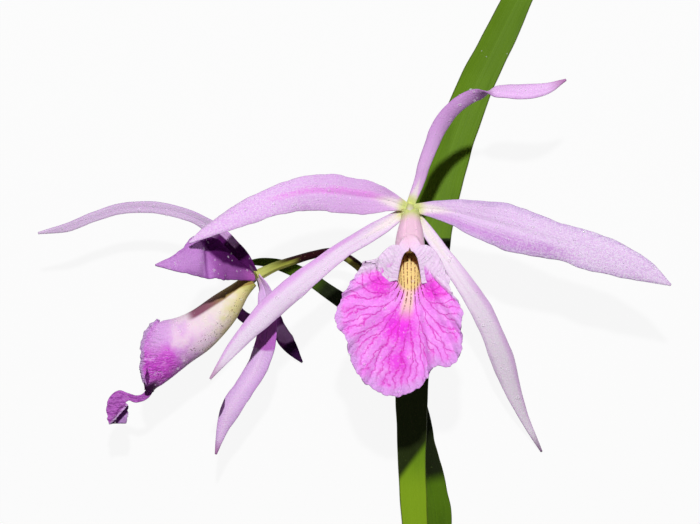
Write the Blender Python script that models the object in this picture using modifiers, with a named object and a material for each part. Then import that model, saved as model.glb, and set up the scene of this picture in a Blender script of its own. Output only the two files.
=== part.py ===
"""A cut cattleya orchid: two flowers on one flower stem with two strap leaves, all growing from the
cut top of a cane. It lies on a table, so +Z is up off the table, and the front flower faces up.

Every piece is laid out in millimetres on the table plan, X to the right and Y towards the leaf
tips, and the finished spray is set down with its bounding box centred over the origin.
"""
import math

import bpy
import numpy as np

# ---- driving dimensions, in millimetres unless they say otherwise ----
MM = 0.001
PLAN_CENTRE = (0.33, -8.3)  # the middle of the spray's bounding box on the layout plan
GAP = 0.35  # clear space where one piece grows out of another

FRONT_CENTRE = (17.0, 15.3, 33.0)  # top of the front flower's ovary, where its parts meet
FRONT_FACING = (0.0, 0.0, 1.0)
FRONT_UPWARD = (0.0, 1.0, 0.0)
SIDE_CENTRE = (-26.8, -4.0, 28.0)  # the same place on the side flower
SIDE_FACING = (-0.79, -0.613, 0.0)
SIDE_UPWARD = (-0.613, 0.79, 0.0)

SEPAL_SEAT = (2.75, -1.25)  # distance out from the flower's axis, and along it from the centre
SIDE_DORSAL_SEAT = (2.35, -1.25)  # closer in, where the side flower nods off its stem
PETAL_SEAT = (2.1, 0.8)
TEPAL_THICKNESS = 0.7
LIP_THICKNESS = 0.6
LEAF_THICKNESS = 1.0
SHEATH_THICKNESS = 0.35

PEDUNCLE_RADIUS = 1.6
PEDICEL_RADIUS = 1.3
OVARY_RADIUS = 1.75
ANTHER_RADIUS = 1.5

PETAL_GRID = (4, 14)  # faces across and along
LEAF_GRID = (4, 22)
LIP_GRID = (28, 14)

COLOURS = {
    "lilac": (0.62, 0.31, 0.66),
    "pale_lilac": (0.74, 0.56, 0.76),
    "magenta": (0.72, 0.10, 0.62),
    "cream": (0.80, 0.74, 0.42),
    "leaf_green": (0.12, 0.27, 0.02),
    "stem_green": (0.26, 0.32, 0.05),
    "cane_green": (0.30, 0.33, 0.10),
    "dry_sheath": (0.42, 0.36, 0.18),
}


# ---- small helpers ----
def clear_scene():
    for thing in list(bpy.data.objects):
        bpy.data.objects.remove(thing, do_unlink=True)


def material(name, roughness=0.5):
    """One Principled material for each colour of the plant."""
    made = bpy.data.materials.get(name)
    if made is None:
        made = bpy.data.materials.new(name)
        made.use_nodes = True
        shader = made.node_tree.nodes["Principled BSDF"]
        shader.inputs["Base Color"].default_value = (*COLOURS[name], 1.0)
        shader.inputs["Roughness"].default_value = roughness
        shader.inputs["Metallic"].default_value = 0.0
    return made


def unit(vector):
    vector = np.asarray(vector, float)
    return vector / np.linalg.norm(vector)


def smooth_line(knots, values, at):
    """A smooth curve through the values: a cubic between each two knots, with even slopes."""
    knots = np.asarray(knots, float)
    values = np.asarray(values, float)
    slopes = np.gradient(values, knots, axis=0)
    place = min(max(int(np.searchsorted(knots, at)) - 1, 0), len(knots) - 2)
    step = knots[place + 1] - knots[place]
    s = (at - knots[place]) / step
    near = values[place] * (1 + 2 * s) * (1 - s) ** 2 + slopes[place] * step * s * (1 - s) ** 2
    far = values[place + 1] * s * s * (3 - 2 * s) + slopes[place + 1] * step * s * s * (s - 1)
    return near + far


def chord_knots(points):
    """Knots from 0 to 1 that follow the distance between the points."""
    points = np.asarray(points, float)
    lengths = np.linalg.norm(np.diff(points, axis=0), axis=1)
    return np.concatenate([[0.0], np.cumsum(lengths)]) / lengths.sum()


def plan_to_world(point):
    x, y, z = point
    return ((x - PLAN_CENTRE[0]) * MM, (y - PLAN_CENTRE[1]) * MM, z * MM)


def finish(thing, name, colour):
    """Name the piece, give it its material and put it in the orchid's collection."""
    thing.name = name
    thing.data.name = name
    thing.data.materials.append(material(colour))
    for collection in list(thing.users_collection):
        collection.objects.unlink(thing)
    bpy.data.collections["cattleya_orchid"].objects.link(thing)
    return thing


# ---- the two ways a piece is made: a bent sheet and a tapering tube ----
def sheet(name, surface, grid, thickness, colour):
    """A grid bent to surface(across, along), with across from -1 to 1, then given its thickness."""
    bpy.ops.mesh.primitive_grid_add(x_subdivisions=grid[0], y_subdivisions=grid[1], size=2)
    thing = bpy.context.object
    for vertex in thing.data.vertices:
        across = float(vertex.co.x)
        along = (float(vertex.co.y) + 1) / 2
        vertex.co = plan_to_world(surface(across, along))
    solidify = thing.modifiers.new("thickness", "SOLIDIFY")
    solidify.thickness = thickness * MM
    solidify.offset = 0.0
    thing.data.shade_smooth()
    return finish(thing, name, colour)


def blade(name, stations, colour, thickness=TEPAL_THICKNESS, grid=PETAL_GRID):
    """A strap-shaped leaf, sepal or petal along its midrib.

    A station is (x, y, z, half width, cup in degrees, the way its face looks). A cup above 0
    lifts the margins towards the side that the face looks to.
    """
    points = np.array([station[:3] for station in stations], float)
    knots = chord_knots(points)
    widths = [station[3] for station in stations]
    cups = [math.radians(station[4]) for station in stations]
    faces = [unit(station[5]) for station in stations]

    def surface(across, along):
        small = 0.004
        middle = smooth_line(knots, points, along)
        ahead = smooth_line(knots, points, min(along + small, 1.0))
        behind = smooth_line(knots, points, max(along - small, 0.0))
        onward = unit(ahead - behind)
        face = unit(smooth_line(knots, faces, along))
        sideways = unit(np.cross(onward, face))
        outward = np.cross(sideways, onward)
        width = max(float(smooth_line(knots, widths, along)), 0.3)
        bend = float(smooth_line(knots, cups, along)) * across
        if abs(bend) < 1e-6:
            return middle + sideways * width * across
        radius = width * across / bend
        rise = radius * (1 - math.cos(bend))
        return middle + sideways * radius * math.sin(bend) + outward * rise

    return sheet(name, surface, grid, thickness, colour)


def tube(name, stations, colour, samples=12, resolution=2):
    """A round stem through (x, y, z, radius) stations: a bevelled curve with filled caps."""
    points = np.array([station[:3] for station in stations], float)
    radii = [station[3] for station in stations]
    knots = chord_knots(points)
    curve = bpy.data.curves.new(name, "CURVE")
    curve.dimensions = "3D"
    curve.bevel_depth = MM
    curve.bevel_resolution = resolution
    curve.use_fill_caps = True
    spline = curve.splines.new("POLY")
    spline.points.add(samples - 1)
    for place, point in enumerate(spline.points):
        along = place / (samples - 1)
        point.co = (*plan_to_world(smooth_line(knots, points, along)), 1.0)
        point.radius = float(smooth_line(knots, radii, along))
    thing = bpy.data.objects.new(name, curve)
    bpy.context.scene.collection.objects.link(thing)
    return finish(thing, name, colour)


def bud_shape(name, centre, radius, stretch, colour):
    """A small rounded body: a ball with one axis drawn out."""
    bpy.ops.mesh.primitive_uv_sphere_add(segments=12, ring_count=8, radius=radius * MM)
    thing = bpy.context.object
    middle = np.array(plan_to_world(centre))
    for vertex in thing.data.vertices:
        offset = np.array(vertex.co)
        vertex.co = middle + offset + unit(stretch) * np.dot(offset, unit(stretch)) * 0.3
    thing.data.shade_smooth()
    return finish(thing, name, colour)


class Flower:
    """A flower's own axes: across, upward to its dorsal sepal, and the way it faces."""

    def __init__(self, centre, upward, facing):
        self.centre = np.array(centre, float)
        self.facing = unit(facing)
        self.upward = unit(upward)
        self.across = np.cross(self.upward, self.facing)

    def place(self, across, upward, facing):
        offset = across * self.across + upward * self.upward + facing * self.facing
        return self.centre + offset

    def seat(self, clock, seat):
        """Where a sepal or petal starts: clock is the angle round the axis, 0 at across."""
        out, ahead = seat
        turn = math.radians(clock)
        return self.place(out * math.cos(turn), out * math.sin(turn), ahead)

    def tepal(self, name, clock, seat, base, stations, colour):
        """A sepal or petal from its seat on the ovary through its own stations."""
        half_width, cup, face = base
        first = (*self.seat(clock, seat), half_width, cup, face)
        return blade(name, [first, *stations], colour)


def lip_surface(flower, rings, rim, crown, shoulder):
    """The lip: a tube of rings round the column whose last ring flares into a frilled blade.

    A ring is (across, upward, facing, half width, half height, pitch, half angle), the pitch and
    the angle in degrees. rim lists the blade's outline as (across, upward, facing), from one end
    of the last ring round the tip to its other end. crown lifts the blade between the two, and
    shoulder is how far the side lobes stand out before they turn down beside the throat.
    """
    tube_share = 0.5
    lobe_start = 0.4
    last = rings[-1]
    ring_knots = np.linspace(0, 1, len(rings))
    rim_knots = chord_knots(rim)

    def ring_point(ring, across):
        x, y, z, half_width, half_height, pitch, half_angle = ring
        turn = math.radians(half_angle) * across
        tilt = math.radians(pitch)
        down = -math.cos(turn) * half_height
        return flower.place(
            x + math.sin(turn) * half_width, y + down * math.cos(tilt), z + down * math.sin(tilt)
        )

    def surface(across, along):
        flare = min(max((along - lobe_start) / (1 - lobe_start), 0.0), 1.0)
        lobe = shoulder * math.sin(math.pi * flare) * math.exp(-((abs(across) - 0.88) / 0.08) ** 2)
        aside = math.copysign(0.65, across) * flower.across + 0.9 * (1 - flare) * flower.upward
        if along <= tube_share:
            inner = ring_point(smooth_line(ring_knots, rings, along / tube_share), across)
            return inner + aside * lobe
        out = (along - tube_share) / (1 - tube_share)
        inner = ring_point(last, across)
        outer = flower.place(*smooth_line(rim_knots, rim, (across + 1) / 2))
        crowned = flower.facing * crown * math.sin(math.pi * out)
        return inner + (outer - inner) * out + crowned + aside * lobe

    return surface


# ---- the cane, the leaves and the flower stem ----
def cane_top():
    """The cut top of the cane, which both leaves and the flower stem grow from."""
    return tube(
        "cane_top",
        [(23.6, -129.0, 5.2, 4.6), (23.0, -121.0, 5.4, 5.3), (22.0, -109.0, 5.3, 5.1),
         (21.2, -98.5, 5.2, 4.4)],
        "cane_green", samples=7, resolution=3,
    )


def leaves():
    """The long leaf arches over the flower stem, and the short one lies flat under it."""
    up = (0, 0, 1)
    blade(
        "leaf_long",
        [(20.9, -97.6, 8.5, 2.5, 60, up), (20.4, -90.0, 8.2, 3.2, 50, up),
         (19.0, -77.0, 7.4, 3.9, 35, up), (18.3, -62.6, 6.8, 4.1, 25, up),
         (18.0, -48.0, 6.6, 4.45, 20, up), (18.4, -33.7, 6.8, 4.8, 20, up),
         (20.3, -19.3, 6.4, 4.95, 20, up), (22.2, -5.0, 5.0, 5.5, 20, up),
         (23.9, 9.4, 3.4, 6.4, 20, up), (26.8, 23.6, 2.1, 6.4, 22, up),
         (31.3, 37.4, 1.2, 5.9, 24, up), (36.6, 51.0, 0.7, 5.4, 24, up),
         (43.0, 64.2, 0.55, 4.9, 22, up), (49.5, 77.4, 0.55, 4.3, 20, up),
         (56.2, 91.0, 0.55, 3.4, 16, up), (62.1, 103.0, 0.55, 2.0, 10, up),
         (67.0, 112.5, 0.55, 0.4, 0, up)],
        "leaf_green", LEAF_THICKNESS, LEAF_GRID,
    )
    blade(
        "leaf_short",
        [(22.6, -97.4, 2.1, 2.6, 25, up), (24.4, -88.0, 1.0, 3.6, 15, up),
         (25.7, -77.0, 0.55, 4.3, 12, up), (23.9, -65.5, 0.55, 4.4, 10, up),
         (21.0, -54.5, 0.55, 4.3, 10, up), (18.2, -41.0, 0.55, 4.2, 10, up),
         (13.2, -28.5, 0.55, 3.6, 10, up), (5.9, -18.6, 0.55, 2.9, 10, up),
         (-1.5, -12.1, 0.55, 2.3, 12, up), (-7.4, -8.0, 0.55, 2.1, 14, up),
         (-13.0, -4.2, 0.55, 2.0, 14, up), (-19.4, -1.3, 0.55, 1.75, 14, up),
         (-26.0, 0.0, 0.55, 1.2, 8, up), (-32.0, -0.4, 0.55, 0.4, 0, up)],
        "leaf_green", LEAF_THICKNESS, LEAF_GRID,
    )


def flower_stem():
    """The peduncle rises from its sheath, runs under the long leaf and forks into two pedicels."""
    peduncle = [
        (20.8, -98.0, 5.2), (19.9, -88.0, 4.7), (18.8, -77.1, 4.0), (18.0, -55.3, 3.6),
        (16.8, -40.6, 3.7), (14.1, -25.9, 4.6), (12.2, -18.0, 5.4), (10.9, -12.7, 6.6),
    ]
    tube(
        "peduncle",
        [(*point, PEDUNCLE_RADIUS) for point in peduncle],
        "stem_green", samples=18,
    )

    def sheath_wall(across, along):
        """A flattened sleeve round the foot of the peduncle, open along one side and at its top."""
        middle = smooth_line(chord_knots(peduncle), peduncle, 0.015 + 0.22 * along)
        radius = PEDUNCLE_RADIUS + GAP + SHEATH_THICKNESS + 0.35 * math.sin(math.pi * along)
        turn = math.radians(160) * across
        return middle + np.array([radius * math.sin(turn), 0, radius * math.cos(turn) * 0.9])

    sheet("sheath", sheath_wall, (12, 6), SHEATH_THICKNESS, "dry_sheath")
    blade(
        "bract_front",
        [(9.9, -19.6, 6.2, 1.3, 50, (1, 0.3, 0.2)), (9.9, -17.2, 8.2, 1.2, 50, (1, 0.3, 0)),
         (10.4, -15.4, 10.2, 0.35, 0, (1, 0.4, 0))],
        "dry_sheath", SHEATH_THICKNESS, (2, 4),
    )
    blade(
        "bract_side",
        [(8.5, -13.6, 6.2, 1.3, 50, (0.7, 0.5, 0.5)), (6.3, -10.8, 7.9, 1.2, 50, (0.7, 0.6, 0.5)),
         (4.6, -8.2, 9.8, 0.35, 0, (0.7, 0.6, 0.5))],
        "dry_sheath", SHEATH_THICKNESS, (2, 4),
    )


# ---- the front flower, which faces up off the table ----
def front_flower():
    flower = Flower(FRONT_CENTRE, FRONT_UPWARD, FRONT_FACING)
    up = (0, 0, 1)
    tube(
        "front_ovary",
        [(12.3, -18.2, 8.2, PEDICEL_RADIUS * 0.9), (12.9, -14.5, 11.7, PEDICEL_RADIUS),
         (14.6, -5.0, 17.5, PEDICEL_RADIUS), (16.2, 6.5, 23.5, PEDICEL_RADIUS * 1.15),
         (16.95, 13.6, 28.8, OVARY_RADIUS), (17.0, 15.3, 33.0, OVARY_RADIUS * 1.1)],
        "stem_green", samples=14,
    )
    flower.tepal(
        "front_dorsal_sepal", 80, SEPAL_SEAT, (1.3, 40, up),
        [(19.4, 22.4, 33.8, 1.5, 35, up), (21.0, 27.7, 36.3, 1.8, 30, up),
         (23.0, 32.9, 38.6, 2.1, 25, (0.2, 0, 1)), (25.4, 37.9, 40.6, 2.6, 25, (0.4, -0.2, 1)),
         (28.8, 42.2, 42.4, 2.7, 25, (0.5, -0.6, 1)), (33.2, 45.6, 43.7, 2.6, 25, (0.4, -1, 0.5)),
         (38.3, 47.2, 45.0, 2.4, 20, (0.3, -1, 0)), (43.5, 47.6, 45.8, 2.65, 15, (0.1, -1, -0.8)),
         (49.0, 47.4, 46.4, 2.5, 15, (0, -0.6, -1)), (54.5, 48.2, 46.2, 1.65, 10, (0, -0.3, -1)),
         (60.0, 50.6, 45.4, 0.3, 0, (0, -0.3, -1))],
        "lilac",
    )
    flower.tepal(
        "front_petal_left", 165, PETAL_SEAT, (1.2, 30, up),
        [(10.6, 17.2, 35.2, 3.0, 25, up), (6.0, 17.9, 37.6, 4.5, 15, up),
         (0.4, 18.5, 40.7, 5.1, -10, up), (-6.5, 19.3, 44.0, 5.2, -20, up),
         (-13.3, 18.9, 46.5, 4.75, -25, up), (-19.8, 17.2, 49.0, 4.15, -25, (0, 0.15, 1)),
         (-26.3, 14.8, 51.2, 3.8, -30, (0, 0.3, 1)), (-32.4, 12.0, 53.0, 3.2, -35, (0, 0.4, 1)),
         (-38.6, 8.7, 54.5, 1.9, -30, (0, 0.5, 1)), (-44.0, 5.2, 56.0, 0.3, 0, (0, 0.5, 1))],
        "lilac",
    )
    flower.tepal(
        "front_petal_right", -6, PETAL_SEAT, (1.2, 30, up),
        [(23.0, 14.9, 34.7, 2.3, 25, up), (28.5, 14.1, 36.8, 3.5, 15, up),
         (36.4, 12.0, 39.6, 5.3, 5, up), (44.1, 9.7, 42.0, 6.4, -10, up),
         (51.7, 7.4, 43.4, 5.9, -15, up), (59.5, 5.3, 44.0, 5.1, -15, up),
         (67.2, 3.0, 44.4, 5.4, -15, up), (74.8, 0.4, 44.6, 4.6, -15, up),
         (82.1, -2.5, 44.8, 3.1, -10, up), (89.2, -6.4, 45.0, 0.3, 0, up)],
        "lilac",
    )
    flower.tepal(
        "front_sepal_left", 213, SEPAL_SEAT, (1.3, 40, up),
        [(10.6, 11.0, 32.4, 2.1, 30, up), (5.9, 8.2, 34.2, 2.35, 20, up),
         (-1.7, 3.6, 37.6, 2.4, 10, up), (-8.7, -1.7, 40.0, 2.8, 0, up),
         (-15.5, -7.1, 42.0, 3.35, -20, up), (-22.0, -12.9, 43.0, 3.4, -25, up),
         (-28.1, -19.0, 44.0, 2.6, -20, up), (-33.7, -25.6, 44.5, 1.6, -10, up),
         (-38.9, -32.5, 45.0, 0.3, 0, up)],
        "pale_lilac",
    )
    flower.tepal(
        "front_sepal_right", 306, SEPAL_SEAT, (1.3, 40, up),
        [(21.8, 8.8, 32.2, 1.7, 30, up), (26.7, 1.9, 31.6, 2.15, 20, up),
         (32.0, -5.4, 29.6, 2.6, 10, up), (37.1, -13.1, 26.0, 3.1, 0, (0.2, 0, 1)),
         (41.3, -21.3, 21.6, 3.3, -15, (0.3, -0.1, 1)), (44.9, -30.0, 16.4, 3.5, -20, (0.3, -0.1, 1)),
         (48.3, -39.1, 10.6, 2.4, -15, (0.4, 0, 1)), (52.2, -47.8, 5.0, 1.3, 0, (0.4, 0.2, 1)),
         (56.6, -56.0, 0.75, 0.3, 0, (0, 0.4, 1))],
        "pale_lilac",
    )
    column = [(0, 0.2, 1.1), (-0.1, -1.2, 3.4), (-0.35, -4.8, 7.0), (-0.6, -9.8, 12.6)]
    radii = [1.1, 1.15, 1.6, 2.1]
    tube(
        "front_column",
        [(*flower.place(*point), radius) for point, radius in zip(column, radii)],
        "pale_lilac", samples=8,
    )
    tip = flower.place(*column[-1])
    heading = unit(tip - flower.place(*column[-2]))
    bud_shape(
        "front_anther_cap", tip + heading * (GAP + ANTHER_RADIUS * 1.3), ANTHER_RADIUS, heading,
        "cream",
    )
    rings = [
        (0.0, -0.9, 2.05, 2.0, 2.0, 41, 58), (-0.2, -3.7, 5.2, 2.9, 2.8, 41, 150),
        (-0.4, -8.2, 10.6, 3.7, 3.5, 38, 171), (-0.6, -12.6, 15.6, 4.0, 4.4, 28, 173),
        (-0.7, -17.6, 19.0, 3.6, 5.0, 15, 168),
    ]
    rim = [
        (-3.9, -20.4, 22.4), (-5.8, -20.7, 22.9), (-7.7, -19.4, 23.1), (-9.4, -17.4, 22.9),
        (-10.6, -15.4, 22.5), (-12.5, -15.3, 22.1), (-15.8, -19.5, 21.0),
        (-19.4, -25.4, 20.5), (-20.9, -32.4, 20.5), (-18.4, -35.6, 20.5), (-16.9, -42.0, 19.5),
        (-12.6, -48.8, 18.5), (-4.4, -52.4, 18.0), (3.4, -48.6, 18.5), (6.0, -44.2, 20.0),
        (11.0, -43.8, 19.5), (13.8, -38.0, 20.5), (13.4, -33.0, 21.0), (13.8, -29.0, 21.0),
        (10.6, -23.2, 21.5), (9.5, -18.4, 22.3), (8.3, -17.0, 22.7), (6.7, -19.3, 23.0),
        (4.5, -21.2, 22.9), (2.6, -20.9, 22.4),
    ]
    sheet(
        "front_lip", lip_surface(flower, rings, rim, 2.0, 4.6), LIP_GRID, LIP_THICKNESS, "magenta"
    )


# ---- the side flower, which looks along the table ----
def side_flower():
    flower = Flower(SIDE_CENTRE, SIDE_UPWARD, SIDE_FACING)
    tube(
        "side_ovary",
        [(10.4, -12.0, 7.5, PEDICEL_RADIUS * 0.9), (6.4, -5.4, 11.0, PEDICEL_RADIUS),
         (1.5, -0.4, 14.0, PEDICEL_RADIUS), (-5.2, 2.9, 18.0, PEDICEL_RADIUS),
         (-10.9, 2.0, 21.0, PEDICEL_RADIUS), (-15.6, 0.6, 23.2, PEDICEL_RADIUS * 1.05),
         (-21.0, -1.2, 25.6, OVARY_RADIUS), (-26.8, -4.0, 28.0, OVARY_RADIUS)],
        "stem_green", samples=20,
    )
    flower.tepal(
        "side_dorsal_sepal", 90, SIDE_DORSAL_SEAT, (1.3, 30, (-0.5, -0.4, 0.5)),
        [(-30.0, 1.2, 28.4, 2.0, 20, (-0.4, -0.4, 0.9)), (-33.1, 4.1, 28.8, 2.5, 10, (-0.3, -0.4, 0.9)),
         (-37.6, 8.3, 29.4, 2.8, 10, (-0.3, -0.5, 0.8)),
         (-42.0, 11.6, 29.8, 2.5, 15, (-0.3, -0.7, 0.7)), (-48.6, 14.2, 30.0, 2.6, 15, (-0.2, -0.7, 0.6)),
         (-56.7, 15.6, 30.4, 2.7, 15, (0, -0.8, 0.6)), (-64.9, 15.2, 30.6, 2.5, 15, (0.1, -0.8, 0.6)),
         (-72.8, 12.8, 30.4, 2.1, 10, (0.2, -0.7, 0.6)), (-80.5, 9.8, 30.0, 1.6, 10, (0.2, -0.6, 0.7)),
         (-88.6, 8.2, 29.6, 0.3, 0, (0.1, -0.6, 0.8))],
        "lilac",
    )
    back = (-0.8, -0.4, -0.48)
    flower.tepal(
        "side_petal_near", 0, PETAL_SEAT, (1.2, 20, back),
        [(-30.3, -2.3, 33.0, 3.1, 20, back), (-32.6, -0.8, 37.0, 4.7, 15, back),
         (-36.4, 1.4, 42.9, 6.9, 10, back), (-40.2, 1.7, 48.5, 6.5, 10, back),
         (-44.0, 0.3, 54.3, 4.1, 10, back), (-48.0, -0.5, 59.1, 2.2, 5, back),
         (-52.5, -0.8, 63.5, 0.3, 0, back)],
        "lilac",
    )
    away = (-0.8, -0.5, 0.4)
    flower.tepal(
        "side_petal_far", 180, PETAL_SEAT, (1.2, 20, away),
        [(-30.5, -6.6, 21.0, 2.0, 15, away), (-33.2, -10.6, 13.5, 2.3, 10, away),
         (-32.4, -14.0, 7.6, 2.4, 10, (-0.5, -0.4, 0.8)), (-29.8, -16.8, 3.4, 2.2, 5, (-0.3, -0.2, 0.9)),
         (-26.6, -18.6, 0.75, 0.3, 0, (-0.3, -0.2, 1))],
        "lilac",
    )
    tilt = (-0.45, 0, 0.9)
    flower.tepal(
        "side_sepal_near", -35, SEPAL_SEAT, (1.3, 30, (-0.7, -0.4, 0.6)),
        [(-24.0, -7.8, 31.8, 2.2, 25, (-0.6, -0.2, 0.8)), (-23.4, -11.6, 32.0, 2.9, 15, tilt),
         (-23.3, -17.0, 31.6, 3.1, 10, tilt), (-24.1, -23.8, 30.8, 3.3, 5, tilt),
         (-26.6, -30.3, 29.8, 3.2, 0, tilt), (-30.3, -36.0, 28.6, 2.9, -10, (-0.3, 0, 0.9)),
         (-33.9, -41.9, 27.2, 2.7, -15, (-0.2, 0, 0.9)), (-36.6, -48.2, 25.6, 1.6, -10, (0, 0, 1)),
         (-38.4, -55.0, 24.0, 0.3, 0, (0, 0, 1))],
        "lilac",
    )
    flower.tepal(
        "side_sepal_far", 215, SEPAL_SEAT, (1.3, 30, (-0.6, -0.5, 0.6)),
        [(-24.0, -8.8, 21.6, 2.2, 20, (-0.5, -0.4, 0.8)), (-22.8, -13.6, 15.4, 2.9, 10, (-0.5, -0.2, 0.8)),
         (-20.8, -19.2, 9.0, 3.3, 5, (-0.5, 0, 0.8)), (-17.8, -24.8, 3.8, 2.2, 0, (-0.3, 0, 1)),
         (-14.2, -29.6, 0.75, 0.3, 0, (0, 0.3, 1))],
        "lilac",
    )
    column = [(0, 0.2, 0.85), (0, -0.3, 4.0), (0, -1.2, 9.5), (0, -1.9, 17.0)]
    radii = [1.1, 1.15, 1.6, 2.1]
    tube(
        "side_column",
        [(*flower.place(*point), radius) for point, radius in zip(column, radii)],
        "pale_lilac", samples=8,
    )
    tip = flower.place(*column[-1])
    heading = unit(tip - flower.place(*column[-2]))
    bud_shape(
        "side_anther_cap", tip + heading * (GAP + ANTHER_RADIUS * 1.3), ANTHER_RADIUS, heading,
        "cream",
    )
    rings = [
        (0.0, 0.0, 1.7, 2.0, 2.0, 0, 50), (0.0, -0.6, 5.5, 2.6, 2.4, 0, 145),
        (0.0, -1.9, 12.7, 4.4, 4.3, 0, 165), (0.0, -2.6, 21.6, 5.3, 5.5, -8, 168),
        (0.0, -1.7, 28.6, 6.4, 6.5, -20, 164), (0.0, -0.6, 34.8, 7.4, 9.0, -37, 158),
    ]
    rim = [
        (-2.4, 7.3, 30.2), (-6.2, 7.3, 33.4), (-8.8, 4.1, 37.7), (-7.8, -1.6, 42.5), (-4.5, -6.3, 44.4),
        (0.0, -8.2, 43.8), (4.5, -6.3, 44.4), (7.8, -1.6, 42.5), (8.8, 4.1, 37.7), (6.2, 7.3, 33.4),
        (2.4, 7.3, 30.2),
    ]
    lip = sheet(
        "side_lip", lip_surface(flower, rings, rim, 0.0, 0.0), (18, 12), LIP_THICKNESS, "magenta"
    )
    up = (0, 0, 1)
    tongue = blade(
        "side_lip_tongue",
        [(-54.4, -33.2, 28.0, 1.0, 30, up), (-56.6, -35.8, 28.0, 1.0, 40, up),
         (-58.3, -38.2, 28.0, 1.0, 40, up), (-60.9, -39.0, 28.0, 1.0, 30, up),
         (-63.2, -38.4, 28.0, 1.1, 20, up), (-65.3, -38.9, 28.0, 2.6, 10, up),
         (-66.2, -41.3, 27.8, 3.0, 10, up), (-66.2, -43.8, 27.4, 2.9, 10, up),
         (-66.2, -45.9, 27.0, 2.4, 0, up)],
        "magenta", LIP_THICKNESS, (2, 16),
    )
    join(lip, tongue)


def join(body, extra):
    """Unite two closed pieces of the same organ into one solid, with their thickness applied."""
    for thing in (body, extra):
        bpy.context.view_layer.objects.active = thing
        bpy.ops.object.modifier_apply(modifier="thickness")
    union = body.modifiers.new("union", "BOOLEAN")
    union.operation = "UNION"
    union.solver = "EXACT"
    union.object = extra
    bpy.context.view_layer.objects.active = body
    bpy.ops.object.modifier_apply(modifier="union")
    bpy.data.objects.remove(extra, do_unlink=True)


def build():
    clear_scene()
    collection = bpy.data.collections.new("cattleya_orchid")
    bpy.context.scene.collection.children.link(collection)
    cane_top()
    leaves()
    flower_stem()
    front_flower()
    side_flower()


build()
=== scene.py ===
"""A cut cattleya orchid lying on a pale table: the finished look of every piece.

The file follows the spray from its cut foot to the flowers, one section for each piece or group of
like pieces. Sizes are in millimetres on the table plan, X to the right and Y towards the leaf tips.
"""
import math

import bpy
import numpy as np
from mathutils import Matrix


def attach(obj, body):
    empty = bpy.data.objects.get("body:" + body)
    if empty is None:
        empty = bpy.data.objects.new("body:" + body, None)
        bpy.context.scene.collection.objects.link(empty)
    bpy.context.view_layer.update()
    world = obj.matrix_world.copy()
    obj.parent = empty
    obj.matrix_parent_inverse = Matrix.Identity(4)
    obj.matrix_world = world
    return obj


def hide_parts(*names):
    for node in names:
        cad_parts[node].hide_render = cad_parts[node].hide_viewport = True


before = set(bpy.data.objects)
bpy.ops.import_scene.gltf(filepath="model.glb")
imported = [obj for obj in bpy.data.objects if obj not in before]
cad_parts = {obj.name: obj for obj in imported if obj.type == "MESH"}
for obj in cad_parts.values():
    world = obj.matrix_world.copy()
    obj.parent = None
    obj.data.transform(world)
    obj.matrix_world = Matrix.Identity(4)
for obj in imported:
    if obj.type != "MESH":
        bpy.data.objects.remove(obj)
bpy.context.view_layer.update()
bpy.ops.object.select_all(action="DESELECT")


# ----------------------------------------------------------
# The cane: the cut top of a ribbed green pseudobulb, a little dry and brown at its ring.
# It is a grid rolled round its own line, merged at the seam and drawn in to a flat cut end.
# ----------------------------------------------------------
MM = 0.001
PLAN_MIDDLE = (0.33, -8.3, 0.0)
LOOK_AHEAD = 0.004
END_ROWS = 2
UP = (0, 0, 1)


def unit(vectors):
    vectors = np.asarray(vectors, float)
    return vectors / np.linalg.norm(vectors, axis=-1, keepdims=True)


def shares(points):
    """How far along the line each of its points lies, from 0 to 1."""
    lengths = np.linalg.norm(np.diff(np.asarray(points, float), axis=0), axis=1)
    return np.concatenate([[0.0], np.cumsum(lengths)]) / lengths.sum()


def smooth(knots, values, at):
    """A smooth curve through the values, one for each knot, read at many places at once."""
    knots = np.asarray(knots, float)
    values = np.asarray(values, float)
    slopes = np.gradient(values, knots, axis=0)
    place = np.clip(np.searchsorted(knots, at) - 1, 0, len(knots) - 2)
    step = knots[place + 1] - knots[place]
    s = (at - knots[place]) / step
    if values.ndim > 1:
        step, s = step[:, None], s[:, None]
    leaving = values[place] * (1 + 2 * s) * (1 - s) ** 2 + slopes[place] * step * s * (1 - s) ** 2
    arriving = values[place + 1] * s * s * (3 - 2 * s) + slopes[place + 1] * step * s * s * (s - 1)
    return leaving + arriving


def heading(knots, points, at):
    """The way the smooth line through the points runs at each place."""
    ahead = smooth(knots, points, np.minimum(at + LOOK_AHEAD, 1))
    return unit(ahead - smooth(knots, points, np.maximum(at - LOOK_AHEAD, 0)))


def ripple(at, waves, seed):
    """An uneven wave from about -1 to 1, with waves crests for each unit of at."""
    phases = np.random.default_rng(seed).uniform(0, 2 * math.pi, 4)
    turn = 2 * math.pi * waves * np.asarray(at)
    return (
        0.5 * np.sin(turn + phases[0]) + 0.35 * np.sin(turn * 0.63 + phases[1])
        + 0.25 * np.sin(turn * 1.71 + phases[2]) + 0.15 * np.sin(turn * 2.6 + phases[3])
    )


def read(items, name, width=3):
    """A value of this width for each vertex or face of a mesh."""
    values = np.empty(len(items) * width, np.float32)
    items.foreach_get(name, values)
    return values.reshape(-1, width)


def named(name):
    """The primitive just added, under its own name, and where its vertices are."""
    piece = bpy.context.object
    piece.name = piece.data.name = name
    return piece, read(piece.data.vertices, "co").astype(float)


def grid(name, columns, rows):
    """A flat grid, and where its vertices are: across from -1 to 1 and along from 0 to 1."""
    bpy.ops.mesh.primitive_grid_add(x_subdivisions=columns, y_subdivisions=rows, size=2)
    piece, flat = named(name)
    return piece, flat[:, 0], (flat[:, 1] + 1) / 2


def shape(piece, points):
    """Move the grid's vertices to their places on the plan."""
    points = (np.asarray(points, float) - PLAN_MIDDLE) * MM
    piece.data.vertices.foreach_set("co", points.astype(np.float32).ravel())
    piece.data.update()


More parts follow.
